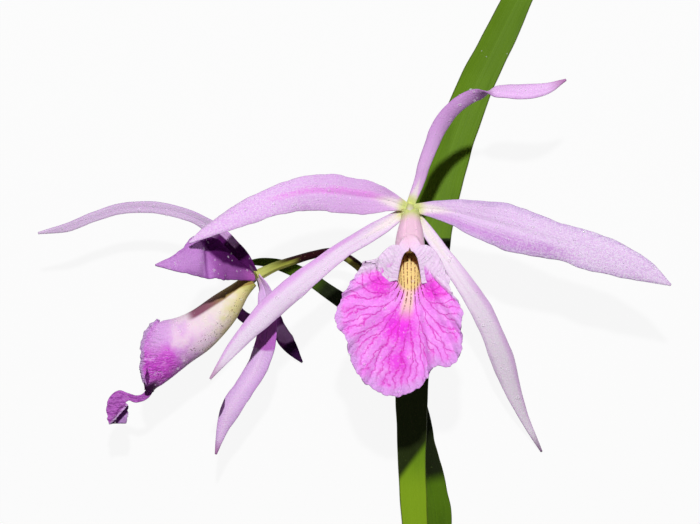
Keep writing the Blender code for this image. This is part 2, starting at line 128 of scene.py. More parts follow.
def merge(piece):
    """Merge a closed seam and its drawn-in ends, with every face turned out."""
    bpy.context.view_layer.objects.active = piece
    bpy.ops.object.mode_set(mode="EDIT")
    bpy.ops.mesh.select_all(action="SELECT")
    bpy.ops.mesh.remove_doubles(threshold=1e-6)
    bpy.ops.mesh.dissolve_degenerate(threshold=1e-7)
    bpy.ops.mesh.select_all(action="SELECT")
    bpy.ops.mesh.normals_make_consistent(inside=False)
    bpy.ops.object.mode_set(mode="OBJECT")


def stem(name, stations, aside, columns, rows, outline):
    """A round stem through (x, y, z, radius), closed at both ends; its seam looks away from aside."""
    piece, across, along = grid(name, columns, rows)
    stations = np.array(stations, float)
    knots = shares(stations[:, :3])
    row = np.rint(along * rows)
    at = np.clip((row - END_ROWS) / (rows - 2 * END_ROWS), 0, 1)
    closing = np.interp(np.minimum(row, rows - row), [0, 1, END_ROWS], [0.0, 0.86, 1.0])
    middle = smooth(knots, stations[:, :3], at)
    onward = heading(knots, stations[:, :3], at)
    sideways = unit(np.cross(onward, np.asarray(aside, float)))
    outward = np.cross(sideways, onward)
    turn = math.pi * across
    radius = smooth(knots, stations[:, 3], at) * closing * outline(turn, at)
    ring = sideways * np.sin(turn)[:, None] + outward * np.cos(turn)[:, None]
    shape(piece, middle + ring * radius[:, None])
    merge(piece)
    piece.data.shade_smooth()
    return piece


def linear(code):
    """A colour written as six hex digits, as the shader's own numbers."""
    parts = [int(code[place:place + 2], 16) / 255 for place in (0, 2, 4)]
    return (*[c / 12.92 if c <= 0.04045 else ((c + 0.055) / 1.055) ** 2.4 for c in parts], 1.0)


def feed(tree, socket, value):
    """Set a socket to a value, or link it to another socket; None leaves it as it is."""
    if isinstance(value, bpy.types.NodeSocket):
        tree.links.new(value, socket)
    elif value is not None:
        socket.default_value = value


def node(tree, kind, inputs, output=0, **settings):
    """Add a shader node with its settings and inputs, and give the socket it puts out."""
    added = tree.nodes.new("ShaderNode" + kind)
    for name, setting in settings.items():
        setattr(added, name, setting)
    for socket, value in inputs.items():
        feed(tree, added.inputs[socket], value)
    return added.outputs[output]


class Finish:
    """A Principled finish built up in coats, each laid over the last through a mask."""

    def __init__(self, name, colour, roughness):
        self.material = bpy.data.materials.new(name)
        self.material.use_nodes = True
        self.tree = self.material.node_tree
        self.shader = self.tree.nodes["Principled BSDF"]
        self.shader.inputs["Roughness"].default_value = roughness
        self.colour = linear(colour)
        self.normal = None
        self.flow = self.node("TexCoord", {}, "UV")
        self.place = self.scaled(self.node("TexCoord", {}, "Object"), (1000, 1000, 1000))
        self.across = self.node("SeparateXYZ", {0: self.flow}, "X")
        self.along = self.node("SeparateXYZ", {0: self.flow}, "Y")

    def node(self, kind, inputs, output=0, **settings):
        return node(self.tree, kind, inputs, output, **settings)

    def scaled(self, vector, scale):
        return self.node("Mapping", {"Vector": vector, "Scale": scale})

    def axis(self, letter):
        """Where a point lies on the plan's X, Y or Z axis, in millimetres."""
        return self.node("SeparateXYZ", {0: self.place}, letter)

    def attribute(self, name):
        return self.node("Attribute", {}, "Fac", attribute_name=name)

    def reckon(self, operation, *values):
        return self.node("Math", dict(enumerate(values)), operation=operation)

    def times(self, first, second):
        return self.reckon("MULTIPLY", first, second)

    def times_plus(self, value, factor, more):
        """The value times the factor, and more added to it."""
        return self.reckon("MULTIPLY_ADD", value, factor, more)

    def apart(self, first, second=0.0):
        """How far two values lie from each other."""
        return self.reckon("ABSOLUTE", self.reckon("SUBTRACT", first, second))

    def step(self, value, low, high, start=0.0, end=1.0):
        """A soft step from start to end as the value goes from low to high."""
        numbers = dict(enumerate((value, low, high, start, end)))
        return self.node("MapRange", numbers, interpolation_type="SMOOTHSTEP")

    def between(self, value, rise, fall):
        """1 between the rise and the fall, which are both soft steps, and 0 outside them."""
        return self.times(self.step(value, *rise), self.step(value, *fall))

    def noise(self, scale, detail, vector=None, distortion=0.0):
        """Noise over the piece's place on the plan, or over another vector."""
        vector = self.place if vector is None else vector
        inputs = {"Vector": vector, "Scale": scale, "Detail": detail, "Distortion": distortion}
        return self.node("TexNoise", inputs)

    def streaks(self, fine, coarse, detail):
        """Noise drawn out along the piece: fine across it and coarse along it."""
        return self.noise(1.0, detail, self.scaled(self.flow, (fine, coarse, 1)))

    def patches(self, scale, detail, low, high):
        """Soft patches, where a noise of this scale rises from low to high."""
        return self.step(self.noise(scale, detail), low, high)

    def near(self, place, size, blur):
        """1 within a size in millimetres of a place on the plan, and 0 beyond its blurred edge."""
        flat = self.scaled(self.place, (1, 1, 0))
        centre = (place[0] - PLAN_MIDDLE[0], place[1] - PLAN_MIDDLE[1], 0)
        away = self.node("VectorMath", {0: flat, 1: centre}, "Value", operation="DISTANCE")
        away = self.times_plus(self.noise(0.4, 3), blur * 0.7, away)
        return self.step(away, size + blur * 0.85, size - blur * 0.15)

    def cells(self, scale):
        return self.node("TexVoronoi", {"Vector": self.place, "Scale": scale}, "Distance")

    def coat(self, colour, *masks):
        """Lay a colour over the last one, through all its masks multiplied together.

        A mask is a socket, a plain share, or the (value, low, high) of a soft step.
        """
        masks = [self.step(*mask) if isinstance(mask, tuple) else mask for mask in masks]
        whole = masks[0]
        for mask in masks[1:]:
            whole = self.times(whole, mask)
        inputs = {0: whole, 6: self.colour, 7: linear(colour)}
        self.colour = self.node("Mix", inputs, 2, data_type="RGBA")

    def relief(self, height, depth):
        """Raise the surface by a height from 0 to 1, of depth in millimetres."""
        inputs = {"Distance": depth * MM, "Height": height, "Normal": self.normal}
        self.normal = self.node("Bump", inputs)

    def tune(self, values):
        """Set inputs of the Principled shader by their names."""
        for name, value in values.items():
            self.shader.inputs[name].default_value = value

    def done(self):
        feed(self.tree, self.shader.inputs["Base Color"], self.colour)
        feed(self.tree, self.shader.inputs["Normal"], self.normal)
        return self.material


def hand_over(piece, finish, slot, *nodes):
    """Give the piece its finish, and let it stand for its solids."""
    piece.data.materials.append(finish)
    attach(piece, "root")
    if nodes:
        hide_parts(*nodes)


def cane_outline(turn, at):
    """Shallow ribs down the cane, and the ring where the leaves leave it."""
    ribs = 0.035 * np.cos(9 * turn) + 0.02 * np.cos(14 * turn + 1.0)
    ring = 0.07 * np.exp(-((at - 0.86) / 0.035) ** 2)
    return 1 + ribs * np.sin(math.pi * np.clip(at, 0, 1)) ** 0.5 + ring


cane = stem(
    "cane_top",
    [(23.6, -129.0, 5.2, 4.6), (23.0, -121.0, 5.4, 5.3), (22.0, -109.0, 5.3, 5.1),
     (21.2, -98.5, 5.2, 4.4)],
    UP, columns=72, rows=90, outline=cane_outline,
)
bark = Finish("cane_skin", "8A9440", 0.5)
bark.coat("A3A35A", bark.streaks(30, 2, 3))
bark.coat("6E5A30", bark.patches(0.35, 4, 0.55, 0.75), 0.6)
bark.coat("B9A671", (bark.streaks(60, 3, 2), 0.6, 0.72), 0.5)
bark.coat("D9D2A0", (bark.axis("Y"), -120.2, -120.6))
bark.relief(bark.streaks(70, 5, 3), 0.25)
hand_over(cane, bark.done(), "cane", "cane_top")


# ----------------------------------------------------------
# The two strap leaves, thick and leathery with a keel down the middle and fine parallel veins.
# Each is a grid bent along its midrib and given flesh that thins towards the darker margins.
# ----------------------------------------------------------
EDGE_WANDER = 0.035
CHANNEL_WIDTH = 0.15


def thicken(piece, thickness, margin=1.0):
    """Give a sheet its flesh, to both sides; margin is the share of it left at the edges."""
    solidify = piece.modifiers.new("flesh", "SOLIDIFY")
    solidify.thickness = thickness * MM
    solidify.offset = 0.0
    if "flesh" in piece.vertex_groups:
        solidify.vertex_group = "flesh"
        solidify.thickness_vertex_group = margin
    bpy.context.view_layer.objects.active = piece
    bpy.ops.object.modifier_apply(modifier="flesh")
    piece.data.shade_smooth()


def strap(name, stations, columns, rows, thickness, seed, ruffle, margin=0.5, keel=0.0, waves=3,
          fold=None, tip=0.12):
    """A leaf, sepal or petal along its midrib, through the same stations as its solid.

    A station is (x, y, z, half width, cup in degrees, the way its face looks, which is up when
    left out). ruffle is the height of the waves along the margins, keel the depth of the channel
    over the midrib, and fold a further shift (sideways, outward) for any (across, along).
    """
    piece, across, along = grid(name, columns, rows)
    points = np.array([station[:3] for station in stations], float)
    knots = shares(points)
    middle = smooth(knots, points, along)
    onward = heading(knots, points, along)
    faces = [unit(station[5] if len(station) > 5 else UP) for station in stations]
    face = unit(smooth(knots, faces, along))
    sideways = unit(np.cross(onward, face))
    outward = np.cross(sideways, onward)
    width = np.maximum(smooth(knots, [station[3] for station in stations], along), tip)
    far_margin = across > 0
    width = width * (1 + EDGE_WANDER * ripple(along + 0.37 * far_margin, waves * 2.3, seed + 20))
    bend = np.radians(smooth(knots, [station[4] for station in stations], along)) * across
    shift = width * across * np.sinc(bend / math.pi)
    rise = width * across * np.sin(bend / 2) * np.sinc(bend / 2 / math.pi)
    broad = np.clip(width / width.max(), 0, 1)
    channel = np.clip(1.4 - 2 * along, 0.15, 1)
    rise = rise - keel * channel * broad * np.exp(-(across / CHANNEL_WIDTH) ** 2)
    wave = ripple(along + 0.21 * far_margin, waves, seed)
    rise = rise + ruffle * broad * wave * np.abs(across) ** 2.5
    if fold is not None:
        more_shift, more_rise = fold(across, along)
        shift, rise = shift + more_shift, rise + more_rise
    points = middle + sideways * shift[:, None] + outward * rise[:, None]
    points[:, 2] = np.maximum(points[:, 2], thickness / 2)
    shape(piece, points)
    flesh = piece.vertex_groups.new(name="flesh")
    for index, share in enumerate(1 - np.abs(across) ** 4):
        flesh.add([index], float(share), "REPLACE")
    thicken(piece, thickness, margin)
    piece.vertex_groups.clear()
    return piece


LEAF_THICKNESS = 1.0
ON_TABLE = 0.55
leaf_long = strap(
    "leaf_long",
    [(20.9, -98.9, 8.4, 2.5, 60), (20.4, -90.0, 8.2, 3.2, 50),
     (19.0, -77.0, 7.4, 3.9, 35), (18.3, -62.6, 6.8, 4.1, 25),
     (18.0, -48.0, 6.6, 4.45, 20), (18.4, -33.7, 6.8, 4.8, 20),
     (20.3, -19.3, 6.4, 4.95, 20), (22.2, -5.0, 5.0, 5.5, 20),
     (23.9, 9.4, 3.4, 6.4, 20), (26.8, 23.6, 2.1, 6.4, 22),
     (31.3, 37.4, 1.2, 5.9, 24), (36.6, 51.0, 0.7, 5.4, 24),
     (43.0, 64.2, ON_TABLE, 4.9, 22), (49.5, 77.4, ON_TABLE, 4.3, 20),
     (56.2, 91.0, ON_TABLE, 3.4, 16), (62.1, 103.0, ON_TABLE, 2.0, 10),
     (67.0, 112.5, ON_TABLE, 0.4, 0)],
    28, 260, LEAF_THICKNESS, seed=3, ruffle=0.12, margin=0.45, keel=0.16, waves=4,
)
leaf_short = strap(
    "leaf_short",
    [(22.4, -98.9, 2.2, 2.6, 25), (24.4, -88.0, 1.0, 3.6, 15),
     (25.7, -77.0, ON_TABLE, 4.3, 12), (23.9, -65.5, ON_TABLE, 4.4, 10),
     (21.0, -54.5, ON_TABLE, 4.3, 10), (18.2, -41.0, ON_TABLE, 4.2, 10),
     (13.2, -28.5, ON_TABLE, 3.6, 10), (5.9, -18.6, ON_TABLE, 2.9, 10),
     (-1.5, -12.1, ON_TABLE, 2.3, 12), (-7.4, -8.0, ON_TABLE, 2.1, 14),
     (-13.0, -4.2, ON_TABLE, 2.0, 14), (-19.4, -1.3, ON_TABLE, 1.75, 14),
     (-26.0, 0.0, ON_TABLE, 1.2, 8), (-32.0, -0.4, ON_TABLE, 0.4, 0)],
    28, 220, LEAF_THICKNESS, seed=5, ruffle=0.05, margin=0.45, keel=0.1, waves=4,
)


def leaf_finish(name, ground, light, deep, more):
    """Leaf skin: fine veins along it and a paler line on the keel as a painted highlight; more lays
    further coats.
    """
    made = Finish(name, ground, 0.45)
    from_middle = made.apart(made.across, 0.5)
    made.coat(light, made.patches(0.05, 2, 0.35, 0.7), 0.7)
    made.coat(deep, (made.streaks(3, 9, 2), 0.5, 0.75), 0.5)
    veins = made.streaks(46, 1.2, 1.5)
    made.coat(light, (veins, 0.52, 0.68), 0.35)
    made.coat(deep, (veins, 0.45, 0.3), 0.3)
    # A paler line down the keel: painted highlight on its ridge.
    made.coat(light, (from_middle, 0.028, 0.008), 0.4)
    more(made)
    # Darker green at the very margins: painted shade at the edges.
    made.coat("3C4410", (from_middle, 0.47, 0.5), 0.6)
    made.coat("94AC50", made.patches(3.2, 2, 0.7, 0.76), 0.35)
    made.relief(veins, 0.1)
    made.relief(made.noise(2.4, 3), 0.05)
    made.tune({"Specular IOR Level": 0.05})
    return made.done()


def long_leaf_shades(made):
    """Yellower towards its foot, and a painted shadow where the flower keeps the light off it."""
    onward = made.axis("Y")
    made.coat("7E9F1C", (onward, -44, -60), 0.9)
    slanting = made.times_plus(made.axis("X"), -1.32, onward)
    # Painted shadow, a very dark green, below the flower up to a slanting line.
    made.coat("1C2606", (slanting, -75.5, -72), (onward, 15.6, 15.0))


def short_leaf_shades(made):
    """A painted shadow, very dark green, where the flower and the long leaf keep the light off it."""
    made.coat("121A04", made.between(made.along, (0.255, 0.29), (0.84, 0.79)))


long_skin = leaf_finish("leaf_green", "577814", "608417", "45650B", long_leaf_shades)
short_skin = leaf_finish("leaf_dark", "46640D", "507210", "365408", short_leaf_shades)
hand_over(leaf_long, long_skin, "leaf", "leaf_long")
hand_over(leaf_short, short_skin, "leaf", "leaf_short")


# ----------------------------------------------------------
# The flower stem: a round green peduncle that forks into the two pedicels, each with a small
# dry bract at its foot. The papery sheath it grew from is left round its base, split at the top.
# ----------------------------------------------------------
PEDUNCLE = [
    (20.8, -98.0, 5.2), (19.9, -88.0, 4.7), (18.8, -77.1, 4.0), (18.0, -55.3, 3.6),
    (16.8, -40.6, 3.7), (14.1, -25.9, 4.6), (12.2, -18.0, 5.4), (10.9, -12.7, 6.6),
]
PEDUNCLE_RADIUS = 1.6
SHEATH_THICKNESS = 0.25
SHEATH_GAP = 0.7


def knuckles(turn, at):
    """Five faint ridges, and the swollen joints that a flower stem has."""
    joints = sum(0.10 * np.exp(-((at - joint) / 0.012) ** 2) for joint in (0.34, 0.72))
    return 1 + 0.02 * np.cos(5 * turn) + joints


peduncle = stem(
    "peduncle", [(*point, PEDUNCLE_RADIUS) for point in PEDUNCLE], UP,
    columns=32, rows=200, outline=knuckles,
)


def stem_finish(name, ground, light, blush, ends=None, more=None):
    """Stem skin: green with long pale streaks, purple where the sun has caught it."""
    made = Finish(name, ground, 0.42)
    streaks = made.streaks(16, 3, 2.5)
    made.coat(light, (streaks, 0.42, 0.7), 0.8)
    made.coat(blush, made.patches(0.16, 2, 0.5, 0.72), 0.65)
    if ends is not None:
        colour, low, high = ends
        made.coat(colour, (made.along, low, high))
    if more is not None:
        more(made)
    made.coat("C9CC86", made.patches(3.0, 1, 0.72, 0.78), 0.4)
    made.relief(streaks, 0.1)
    made.tune({"Specular IOR Level": 0.02})
    return made.done()


hand_over(peduncle, stem_finish("peduncle_skin", "6F7E2A", "96A040", "5A4424"), "stem", "peduncle")

sheath, across, along = grid("sheath", 90, 60)
middle = smooth(shares(PEDUNCLE), PEDUNCLE, 0.015 + 0.22 * along)
turn = np.radians(160) * across
torn = 1 - 0.10 * np.abs(ripple((across + 1) / 2, 5, 11)) * (along > 0.98)
swelling = 0.35 * np.sin(math.pi * along)
radius = PEDUNCLE_RADIUS + SHEATH_GAP + swelling + 0.12 * ripple(across, 4, 12) * along
ring = np.stack([radius * np.sin(turn), 0 * turn, radius * np.cos(turn) * 0.9], 1)
frayed = -2.2 * along ** 6 * np.abs(ripple((across + 1) / 2, 4, 13))
shape(sheath, middle + ring * torn[:, None] + np.stack([0 * along, frayed, 0 * along], 1))
thicken(sheath, SHEATH_THICKNESS)
husk = Finish("dry_husk", "A98F55", 0.62)
husk.coat("C9B27A", husk.streaks(26, 2, 3))
husk.coat("6E5428", (husk.streaks(40, 3, 2), 0.58, 0.75), 0.7)
husk.coat("7C8A3C", husk.patches(0.25, 2, 0.5, 0.7), 0.4)
husk.relief(husk.streaks(60, 3, 2), 0.12)
dry_husk = husk.done()
hand_over(sheath, dry_husk, "sheath", "sheath")

BRACT_THICKNESS = 0.3
for name, seed, stations in (
    ("bract_front", 6,
     [(9.9, -19.6, 6.2, 1.3, 50, (1, 0.3, 0.2)), (9.9, -17.2, 8.2, 1.2, 50, (1, 0.3, 0)),
      (10.4, -15.4, 10.2, 0.35, 0, (1, 0.4, 0))]),
    ("bract_side", 7,
     [(8.5, -13.6, 6.2, 1.3, 50, (0.7, 0.5, 0.5)), (6.3, -10.8, 7.9, 1.2, 50, (0.7, 0.6, 0.5)),
      (4.6, -8.2, 9.8, 0.35, 0, (0.7, 0.6, 0.5))]),
):
    bract = strap(name, stations, 14, 24, BRACT_THICKNESS, seed, ruffle=0.1, keel=0.1)
    hand_over(bract, dry_husk, "sheath", name)


# ----------------------------------------------------------
# The front flower's stalk and ovary: olive green with purple streaks, six ribs that grow towards
# the flower, and a bright yellow-green top where the petals, sepals and lip all meet.
# ----------------------------------------------------------
FRONT_CENTRE = (17.0, 15.3, 33.0)
PEDICEL_RADIUS = 1.3
OVARY_RADIUS = 1.75


def ovary_ribs(turn, at):
    """Six shallow ribs that fade in along the ovary, with a slight twist."""
    return 1 + 0.07 * np.cos(6 * turn + 3 * at) * np.clip(at * 1.4 - 0.3, 0, 1)


front_ovary = stem(
    "front_ovary",
    [(12.3, -18.2, 8.2, PEDICEL_RADIUS * 0.9), (12.9, -14.5, 11.7, PEDICEL_RADIUS),
     (14.6, -5.0, 17.5, PEDICEL_RADIUS), (16.2, 6.5, 23.5, PEDICEL_RADIUS * 1.15),
     (16.95, 13.6, 28.8, OVARY_RADIUS), (17.0, 15.3, 33.3, OVARY_RADIUS * 1.1)],
    (-1, 0, 0), columns=42, rows=120, outline=ovary_ribs,
)
ovary_skin = stem_finish("ovary_skin", "7E8236", "9AA048", "6B3F52", ("CFD67C", 0.86, 0.97))
hand_over(front_ovary, ovary_skin, "stem", "front_ovary")


# ----------------------------------------------------------
# The front flower's three sepals and two petals: soft lilac flesh, pinker along the middle, its
# margins deepened as painted shade and its outer part frosted with painted glints, running to cream
# and yellow-green claws at the centre.
# ----------------------------------------------------------
SEPAL_SEAT = (1.2, -0.75)
PETAL_SEAT = (0.9, 0.55)
TEPAL_THICKNESS = 0.7


class Flower:
    """A flower's own axes: across, upward to its dorsal sepal, and the way it faces."""

    def __init__(self, centre, upward, facing):
        self.centre = np.array(centre, float)
        self.facing = unit(facing)
        self.upward = unit(upward)
        self.across = np.cross(self.upward, self.facing)

    def place(self, points):
        return self.centre + np.asarray(points, float) @ [self.across, self.upward, self.facing]

    def seat(self, clock, seat):
        """Where a sepal or petal starts: clock is the angle round the axis, 0 at across."""
        out, ahead = seat
        turn = math.radians(clock)
        return self.place((out * math.cos(turn), out * math.sin(turn), ahead))

    def tepal(self, name, clock, seat, base, stations, **details):
        """A sepal or petal from its seat on the ovary through its own stations."""
        first = (*self.seat(clock, seat), *base)
        return strap(name, [first, *stations], 34, 170, TEPAL_THICKNESS, margin=0.35, **details)


def flesh_light(made, gloss, radius, depth):
    """How much the thin flesh mirrors, and how far into it each colour of light goes."""
    made.tune({
        "Specular IOR Level": gloss, "Subsurface Weight": 0.1,
        "Subsurface Radius": radius, "Subsurface Scale": depth * MM,
    })


def tepal_finish(name, ground, deep, pale, bright, band, frosted=(0.5, 1.0), claw=0.2,
                 tip_colour=None, grainy=1.0, foot="CCD47A", gloss=0.06, more=None):
    """Petal flesh: ground colour with margins deepened as painted shade, one brighter band, and a
    frosted far half with painted glints.

    band is (its middle across the petal from 0 to 1, its half width, where it starts and ends),
    frosted is where along the petal the frosting starts and where it is full, grainy how strong
    it is, gloss how much it mirrors, and more lays further coats over the flesh.
    """
    made = Finish(name, ground, 0.5)
    across, along = made.across, made.along
    wander = made.streaks(2, 6, 3)
    drifted = made.times_plus(wander, 0.3, made.reckon("ADD", across, -0.15))
    from_middle = made.apart(across, 0.5)
    middle, half, start, end = band
    away = made.apart(drifted, middle)
    there = made.between(along, (start - 0.1, start + 0.1), (end + 0.1, end - 0.1))
    made.coat(bright, (away, half, half * 0.1), there, 0.9)
    veins = made.streaks(30, 1.4, 2)
    made.coat(deep, (veins, 0.52, 0.72), 0.3)
    made.coat(pale, (veins, 0.46, 0.3), 0.3)
    # The margins deepened towards the edges: painted shade where they curve away.
    uneven = made.times_plus(made.noise(0.35, 4), 0.24, from_middle)
    made.coat(deep, (uneven, 0.44, 0.62), 0.6)
    grain = made.noise(1.9, 4)
    frost = made.step(along, *frosted, 0.2 * grainy, 0.75 * grainy)
    made.coat(pale, (grain, 0.42, 0.6), frost)
    made.coat(deep, (grain, 0.42, 0.3), frost, 0.45)
    if more is not None:
        more(made)
    if tip_colour is not None:
        made.coat(tip_colour, (along, 0.9, 1.0), 0.85)
    wedge = made.times_plus(from_middle, 1.5, made.reckon("DIVIDE", along, claw))
    made.coat("EDE3E2", (wedge, 1.0, 0.5), 0.85)
    made.coat("E2DCC0", (wedge, 0.34, 0.12), 0.9)
    made.coat(foot, (along, 0.058, 0.015), 0.9)
    made.coat("8C60A0", (from_middle, 0.485, 0.5), (along, 0.04, 0.12), 0.45)
    glint_cells = made.cells(2.4)
    # Painted glints: small near-white dots over the frosted part.
    made.coat("FFF6FF", (glint_cells, 0.17, 0.07), frost, 0.7)
    made.relief(veins, 0.08)
    made.relief(grain, 0.1 * grainy)
    made.relief(glint_cells, 0.06)
    flesh_light(made, gloss, (1.0, 0.5, 0.9), 0.8)
    return made.done()


front = Flower(FRONT_CENTRE, (0, 1, 0), UP)

dorsal = front.tepal(
    "front_dorsal_sepal", 80, SEPAL_SEAT, (1.2, 20),
    [(19.4, 22.4, 33.8, 1.5, -10), (21.0, 27.7, 36.3, 1.8, -25),
     (23.0, 32.9, 38.6, 2.1, -35, (0.2, 0, 1)), (25.4, 37.9, 40.6, 2.6, -35, (0.4, -0.2, 1)),
     (28.8, 42.2, 42.4, 2.7, -30, (0.5, -0.6, 1)), (33.2, 45.6, 43.7, 2.6, -20, (0.4, -0.7, 0.8)),
     (36.6, 46.7, 44.6, 2.5, -8, (0.3, -0.9, 0.5)), (38.3, 47.2, 45.0, 2.4, 0, (0.3, -1, 0)),
     (40.0, 47.4, 45.3, 2.5, 6, (0.1, -0.9, -0.6)), (43.5, 47.6, 45.8, 2.65, 15, (0.1, -0.9, -0.9)),
     (49.0, 47.4, 46.4, 2.5, 15, (0, -0.6, -1)), (54.5, 48.2, 46.2, 1.65, 10, (0, -0.3, -1)),
     (60.0, 50.6, 45.4, 0.3, 0, (0, -0.3, -1))],
    seed=31, ruffle=0.1,
)


def twist_shade(made):
    """Deeper purple up to where the sepal twists over, and painted shade where it turns over."""
    made.coat("C487D0", made.between(made.along, (0.15, 0.5), (0.66, 0.6)), 0.55)
    # Painted shade where the sepal turns edge on at its twist.
    made.coat("84508C", made.near((37.0, 46.0), 1.8, 3.0), 0.75)


hand_over(
    dorsal,
    tepal_finish("dorsal_flesh", "E0B4E8", "B886C2", "E9CCEF", "E4B6EC", (0.35, 0.25, 0.0, 0.7),
                 claw=0.16, tip_colour="A868A0", grainy=0.35, more=twist_shade),
    "sepal", "front_dorsal_sepal",
)

petal_left = front.tepal(
    "front_petal_left", 165, PETAL_SEAT, (1.2, 30),
    [(10.6, 17.2, 35.2, 3.0, 25), (6.0, 17.9, 37.6, 4.5, 15),
     (0.4, 18.5, 40.7, 5.1, -5), (-6.5, 19.3, 44.0, 5.2, -10),
     (-13.3, 18.9, 46.5, 4.75, -12), (-19.8, 17.2, 49.0, 4.15, -15, (0, 0.15, 1)),
     (-26.3, 14.8, 51.2, 3.8, -20, (0, 0.3, 1)), (-32.4, 12.0, 53.0, 3.2, -28, (0, 0.4, 1)),
     (-38.6, 8.7, 54.5, 1.9, -30, (0, 0.5, 1)), (-44.0, 5.2, 56.0, 0.3, 0, (0, 0.5, 1))],
    seed=32, ruffle=0.45, keel=0.35, waves=3.5,
)
hand_over(
    petal_left,
    tepal_finish("petal_left_flesh", "DCAEE6", "CFA3DA", "E4CDE9", "EA92EC", (0.58, 0.18, 0.1, 0.6),
                 frosted=(0.2, 0.7), grainy=0.8),
    "petal", "front_petal_left",
)

petal_right = front.tepal(
    "front_petal_right", -6, PETAL_SEAT, (1.2, 30),
    [(23.0, 14.9, 34.7, 2.3, 25), (28.5, 14.1, 36.8, 3.5, 15),
     (36.4, 12.0, 39.6, 5.3, 5), (44.1, 9.7, 42.0, 6.4, -10),
     (51.7, 7.4, 43.4, 5.9, -15), (59.5, 5.3, 44.0, 5.1, -15),
     (67.2, 3.0, 44.4, 5.4, -15), (74.8, 0.4, 44.6, 4.6, -15),
     (82.1, -2.5, 44.8, 3.1, -10), (89.2, -6.4, 45.0, 0.3, 0)],
    seed=33, ruffle=0.5, keel=0.4,
)
hand_over(
    petal_right,
    tepal_finish("petal_right_flesh", "DCBCE5", "B294C6", "E5D7EC", "C88CD6", (0.8, 0.26, 0.0, 0.6),
                 frosted=(0.2, 0.7), grainy=0.9),
    "petal", "front_petal_right",
)

sepal_left = front.tepal(
    "front_sepal_left", 213, SEPAL_SEAT, (1.2, 40),
    [(10.6, 11.0, 32.4, 2.1, 30), (5.9, 8.2, 34.2, 2.35, 20),
     (-1.7, 3.6, 37.6, 2.4, 10), (-8.7, -1.7, 40.0, 2.8, 0),
     (-15.5, -7.1, 42.0, 3.35, -20), (-22.0, -12.9, 43.0, 3.4, -25),
     (-28.1, -19.0, 44.0, 2.6, -20), (-33.7, -25.6, 44.5, 1.6, -10),
     (-38.9, -32.5, 45.0, 0.3, 0)],
    seed=34, ruffle=0.2, keel=-0.15, waves=2.5,
)
hand_over(
    sepal_left,
    tepal_finish("sepal_left_flesh", "E3D0E7", "C89AD2", "ECE0EE", "D99EE0", (0.92, 0.3, 0.2, 1.0),
                 claw=0.26, tip_colour="B98AB0", grainy=0.4),
    "sepal", "front_sepal_left",
)

sepal_right = front.tepal(
    "front_sepal_right", 306, SEPAL_SEAT, (1.2, 40),
    [(21.8, 8.8, 32.2, 1.7, 30), (26.7, 1.9, 31.6, 2.15, 20),
     (32.0, -5.4, 29.6, 2.6, 10), (37.1, -13.1, 26.0, 3.1, 0, (0.2, 0, 1)),
     (41.3, -21.3, 21.6, 3.3, -15, (0.3, -0.1, 1)), (44.9, -30.0, 16.4, 3.5, -20, (0.3, -0.1, 1)),
     (48.3, -39.1, 10.6, 2.4, -15, (0.4, 0, 1)), (52.2, -47.8, 5.0, 1.3, 0, (0.4, 0.2, 1)),
     (56.6, -56.0, 0.75, 0.3, 0, (0, 0.4, 1))],
    seed=35, ruffle=0.2, keel=-0.15, waves=2.5,
)
hand_over(
    sepal_right,
    tepal_finish("sepal_right_flesh", "F2E4F4", "D4AEDC", "F8F0F9", "E6BEEC", (0.08, 0.3, 0.25, 1.0),
                 claw=0.26, tip_colour="8E6A92", grainy=0.4),
    "sepal", "front_sepal_right",
)


# ----------------------------------------------------------
# The front flower's column: the waxy club in the throat that carries the pollen, winged towards
# its tip, with the small cream anther cap that closes it.
# ----------------------------------------------------------
COLUMN_RADII = [1.1, 1.15, 1.6, 2.1]
ANTHER_RADIUS = 1.5
CAP_GAP = 0.35


def column_wings(turn, at):
    """Flattened under, with a wing down each side that widens to the tip."""
    return 1 + 0.14 * np.clip(at, 0, 1) * np.cos(2 * turn) - 0.05 * np.cos(turn)


def column_and_cap(flower, column_name, cap_name, line):
    """The column along its line of (across, upward, facing) points, and the cap off its tip.

    The cap is a ball drawn out forward, with a notch that parts it into two lobes.
    """
    points = flower.place(line)
    stations = [(*point, radius) for point, radius in zip(points, COLUMN_RADII)]
    column = stem(column_name, stations, flower.across, 32, 50, column_wings)
    onward = unit(points[-1] - points[-2])
    centre = points[-1] + onward * (CAP_GAP + ANTHER_RADIUS * 1.3)
    bpy.ops.mesh.primitive_uv_sphere_add(segments=32, ring_count=20, radius=ANTHER_RADIUS)
    cap, ball = named(cap_name)
    across, ahead = ball @ flower.across, ball @ onward
    notch = 0.22 * np.exp(-(across / 0.35) ** 2) * (ahead > 0)
    ball = ball * (1 - notch)[:, None] + onward * (ahead * 0.3)[:, None]
    shape(cap, centre + ball)
    cap.data.shade_smooth()
    hand_over(column, column_wax, "column", column_name)
    hand_over(cap, anther_cream, "anther", cap_name)


wax = Finish("column_wax", "E6D6DE", 0.3)
wax.coat("D9A0D8", wax.patches(0.5, 3, 0.4, 0.7), 0.6)
wax.coat("C8CC84", (wax.along, 0.35, 0.05))
wax.relief(wax.noise(2.0, 2), 0.06)
column_wax = wax.done()
pollen = Finish("anther_cream", "E3D08A", 0.45)
pollen.coat("C7A44E", pollen.patches(0.9, 3, 0.45, 0.7), 0.8)
pollen.relief(pollen.noise(2.5, 2), 0.08)
anther_cream = pollen.done()
column_and_cap(
    front, "front_column", "front_anther_cap",
    [(0, 0.2, 1.1), (-0.1, -1.2, 3.4), (-0.35, -4.8, 7.0), (-0.6, -9.8, 12.6)],
)


# ----------------------------------------------------------
# The front lip: a tube rolled round the column with one margin over the other, whose mouth opens
# into two pale side lobes and a broad frilled blade, veined in magenta from a yellow throat.
# ----------------------------------------------------------
LIP_THICKNESS = 0.55


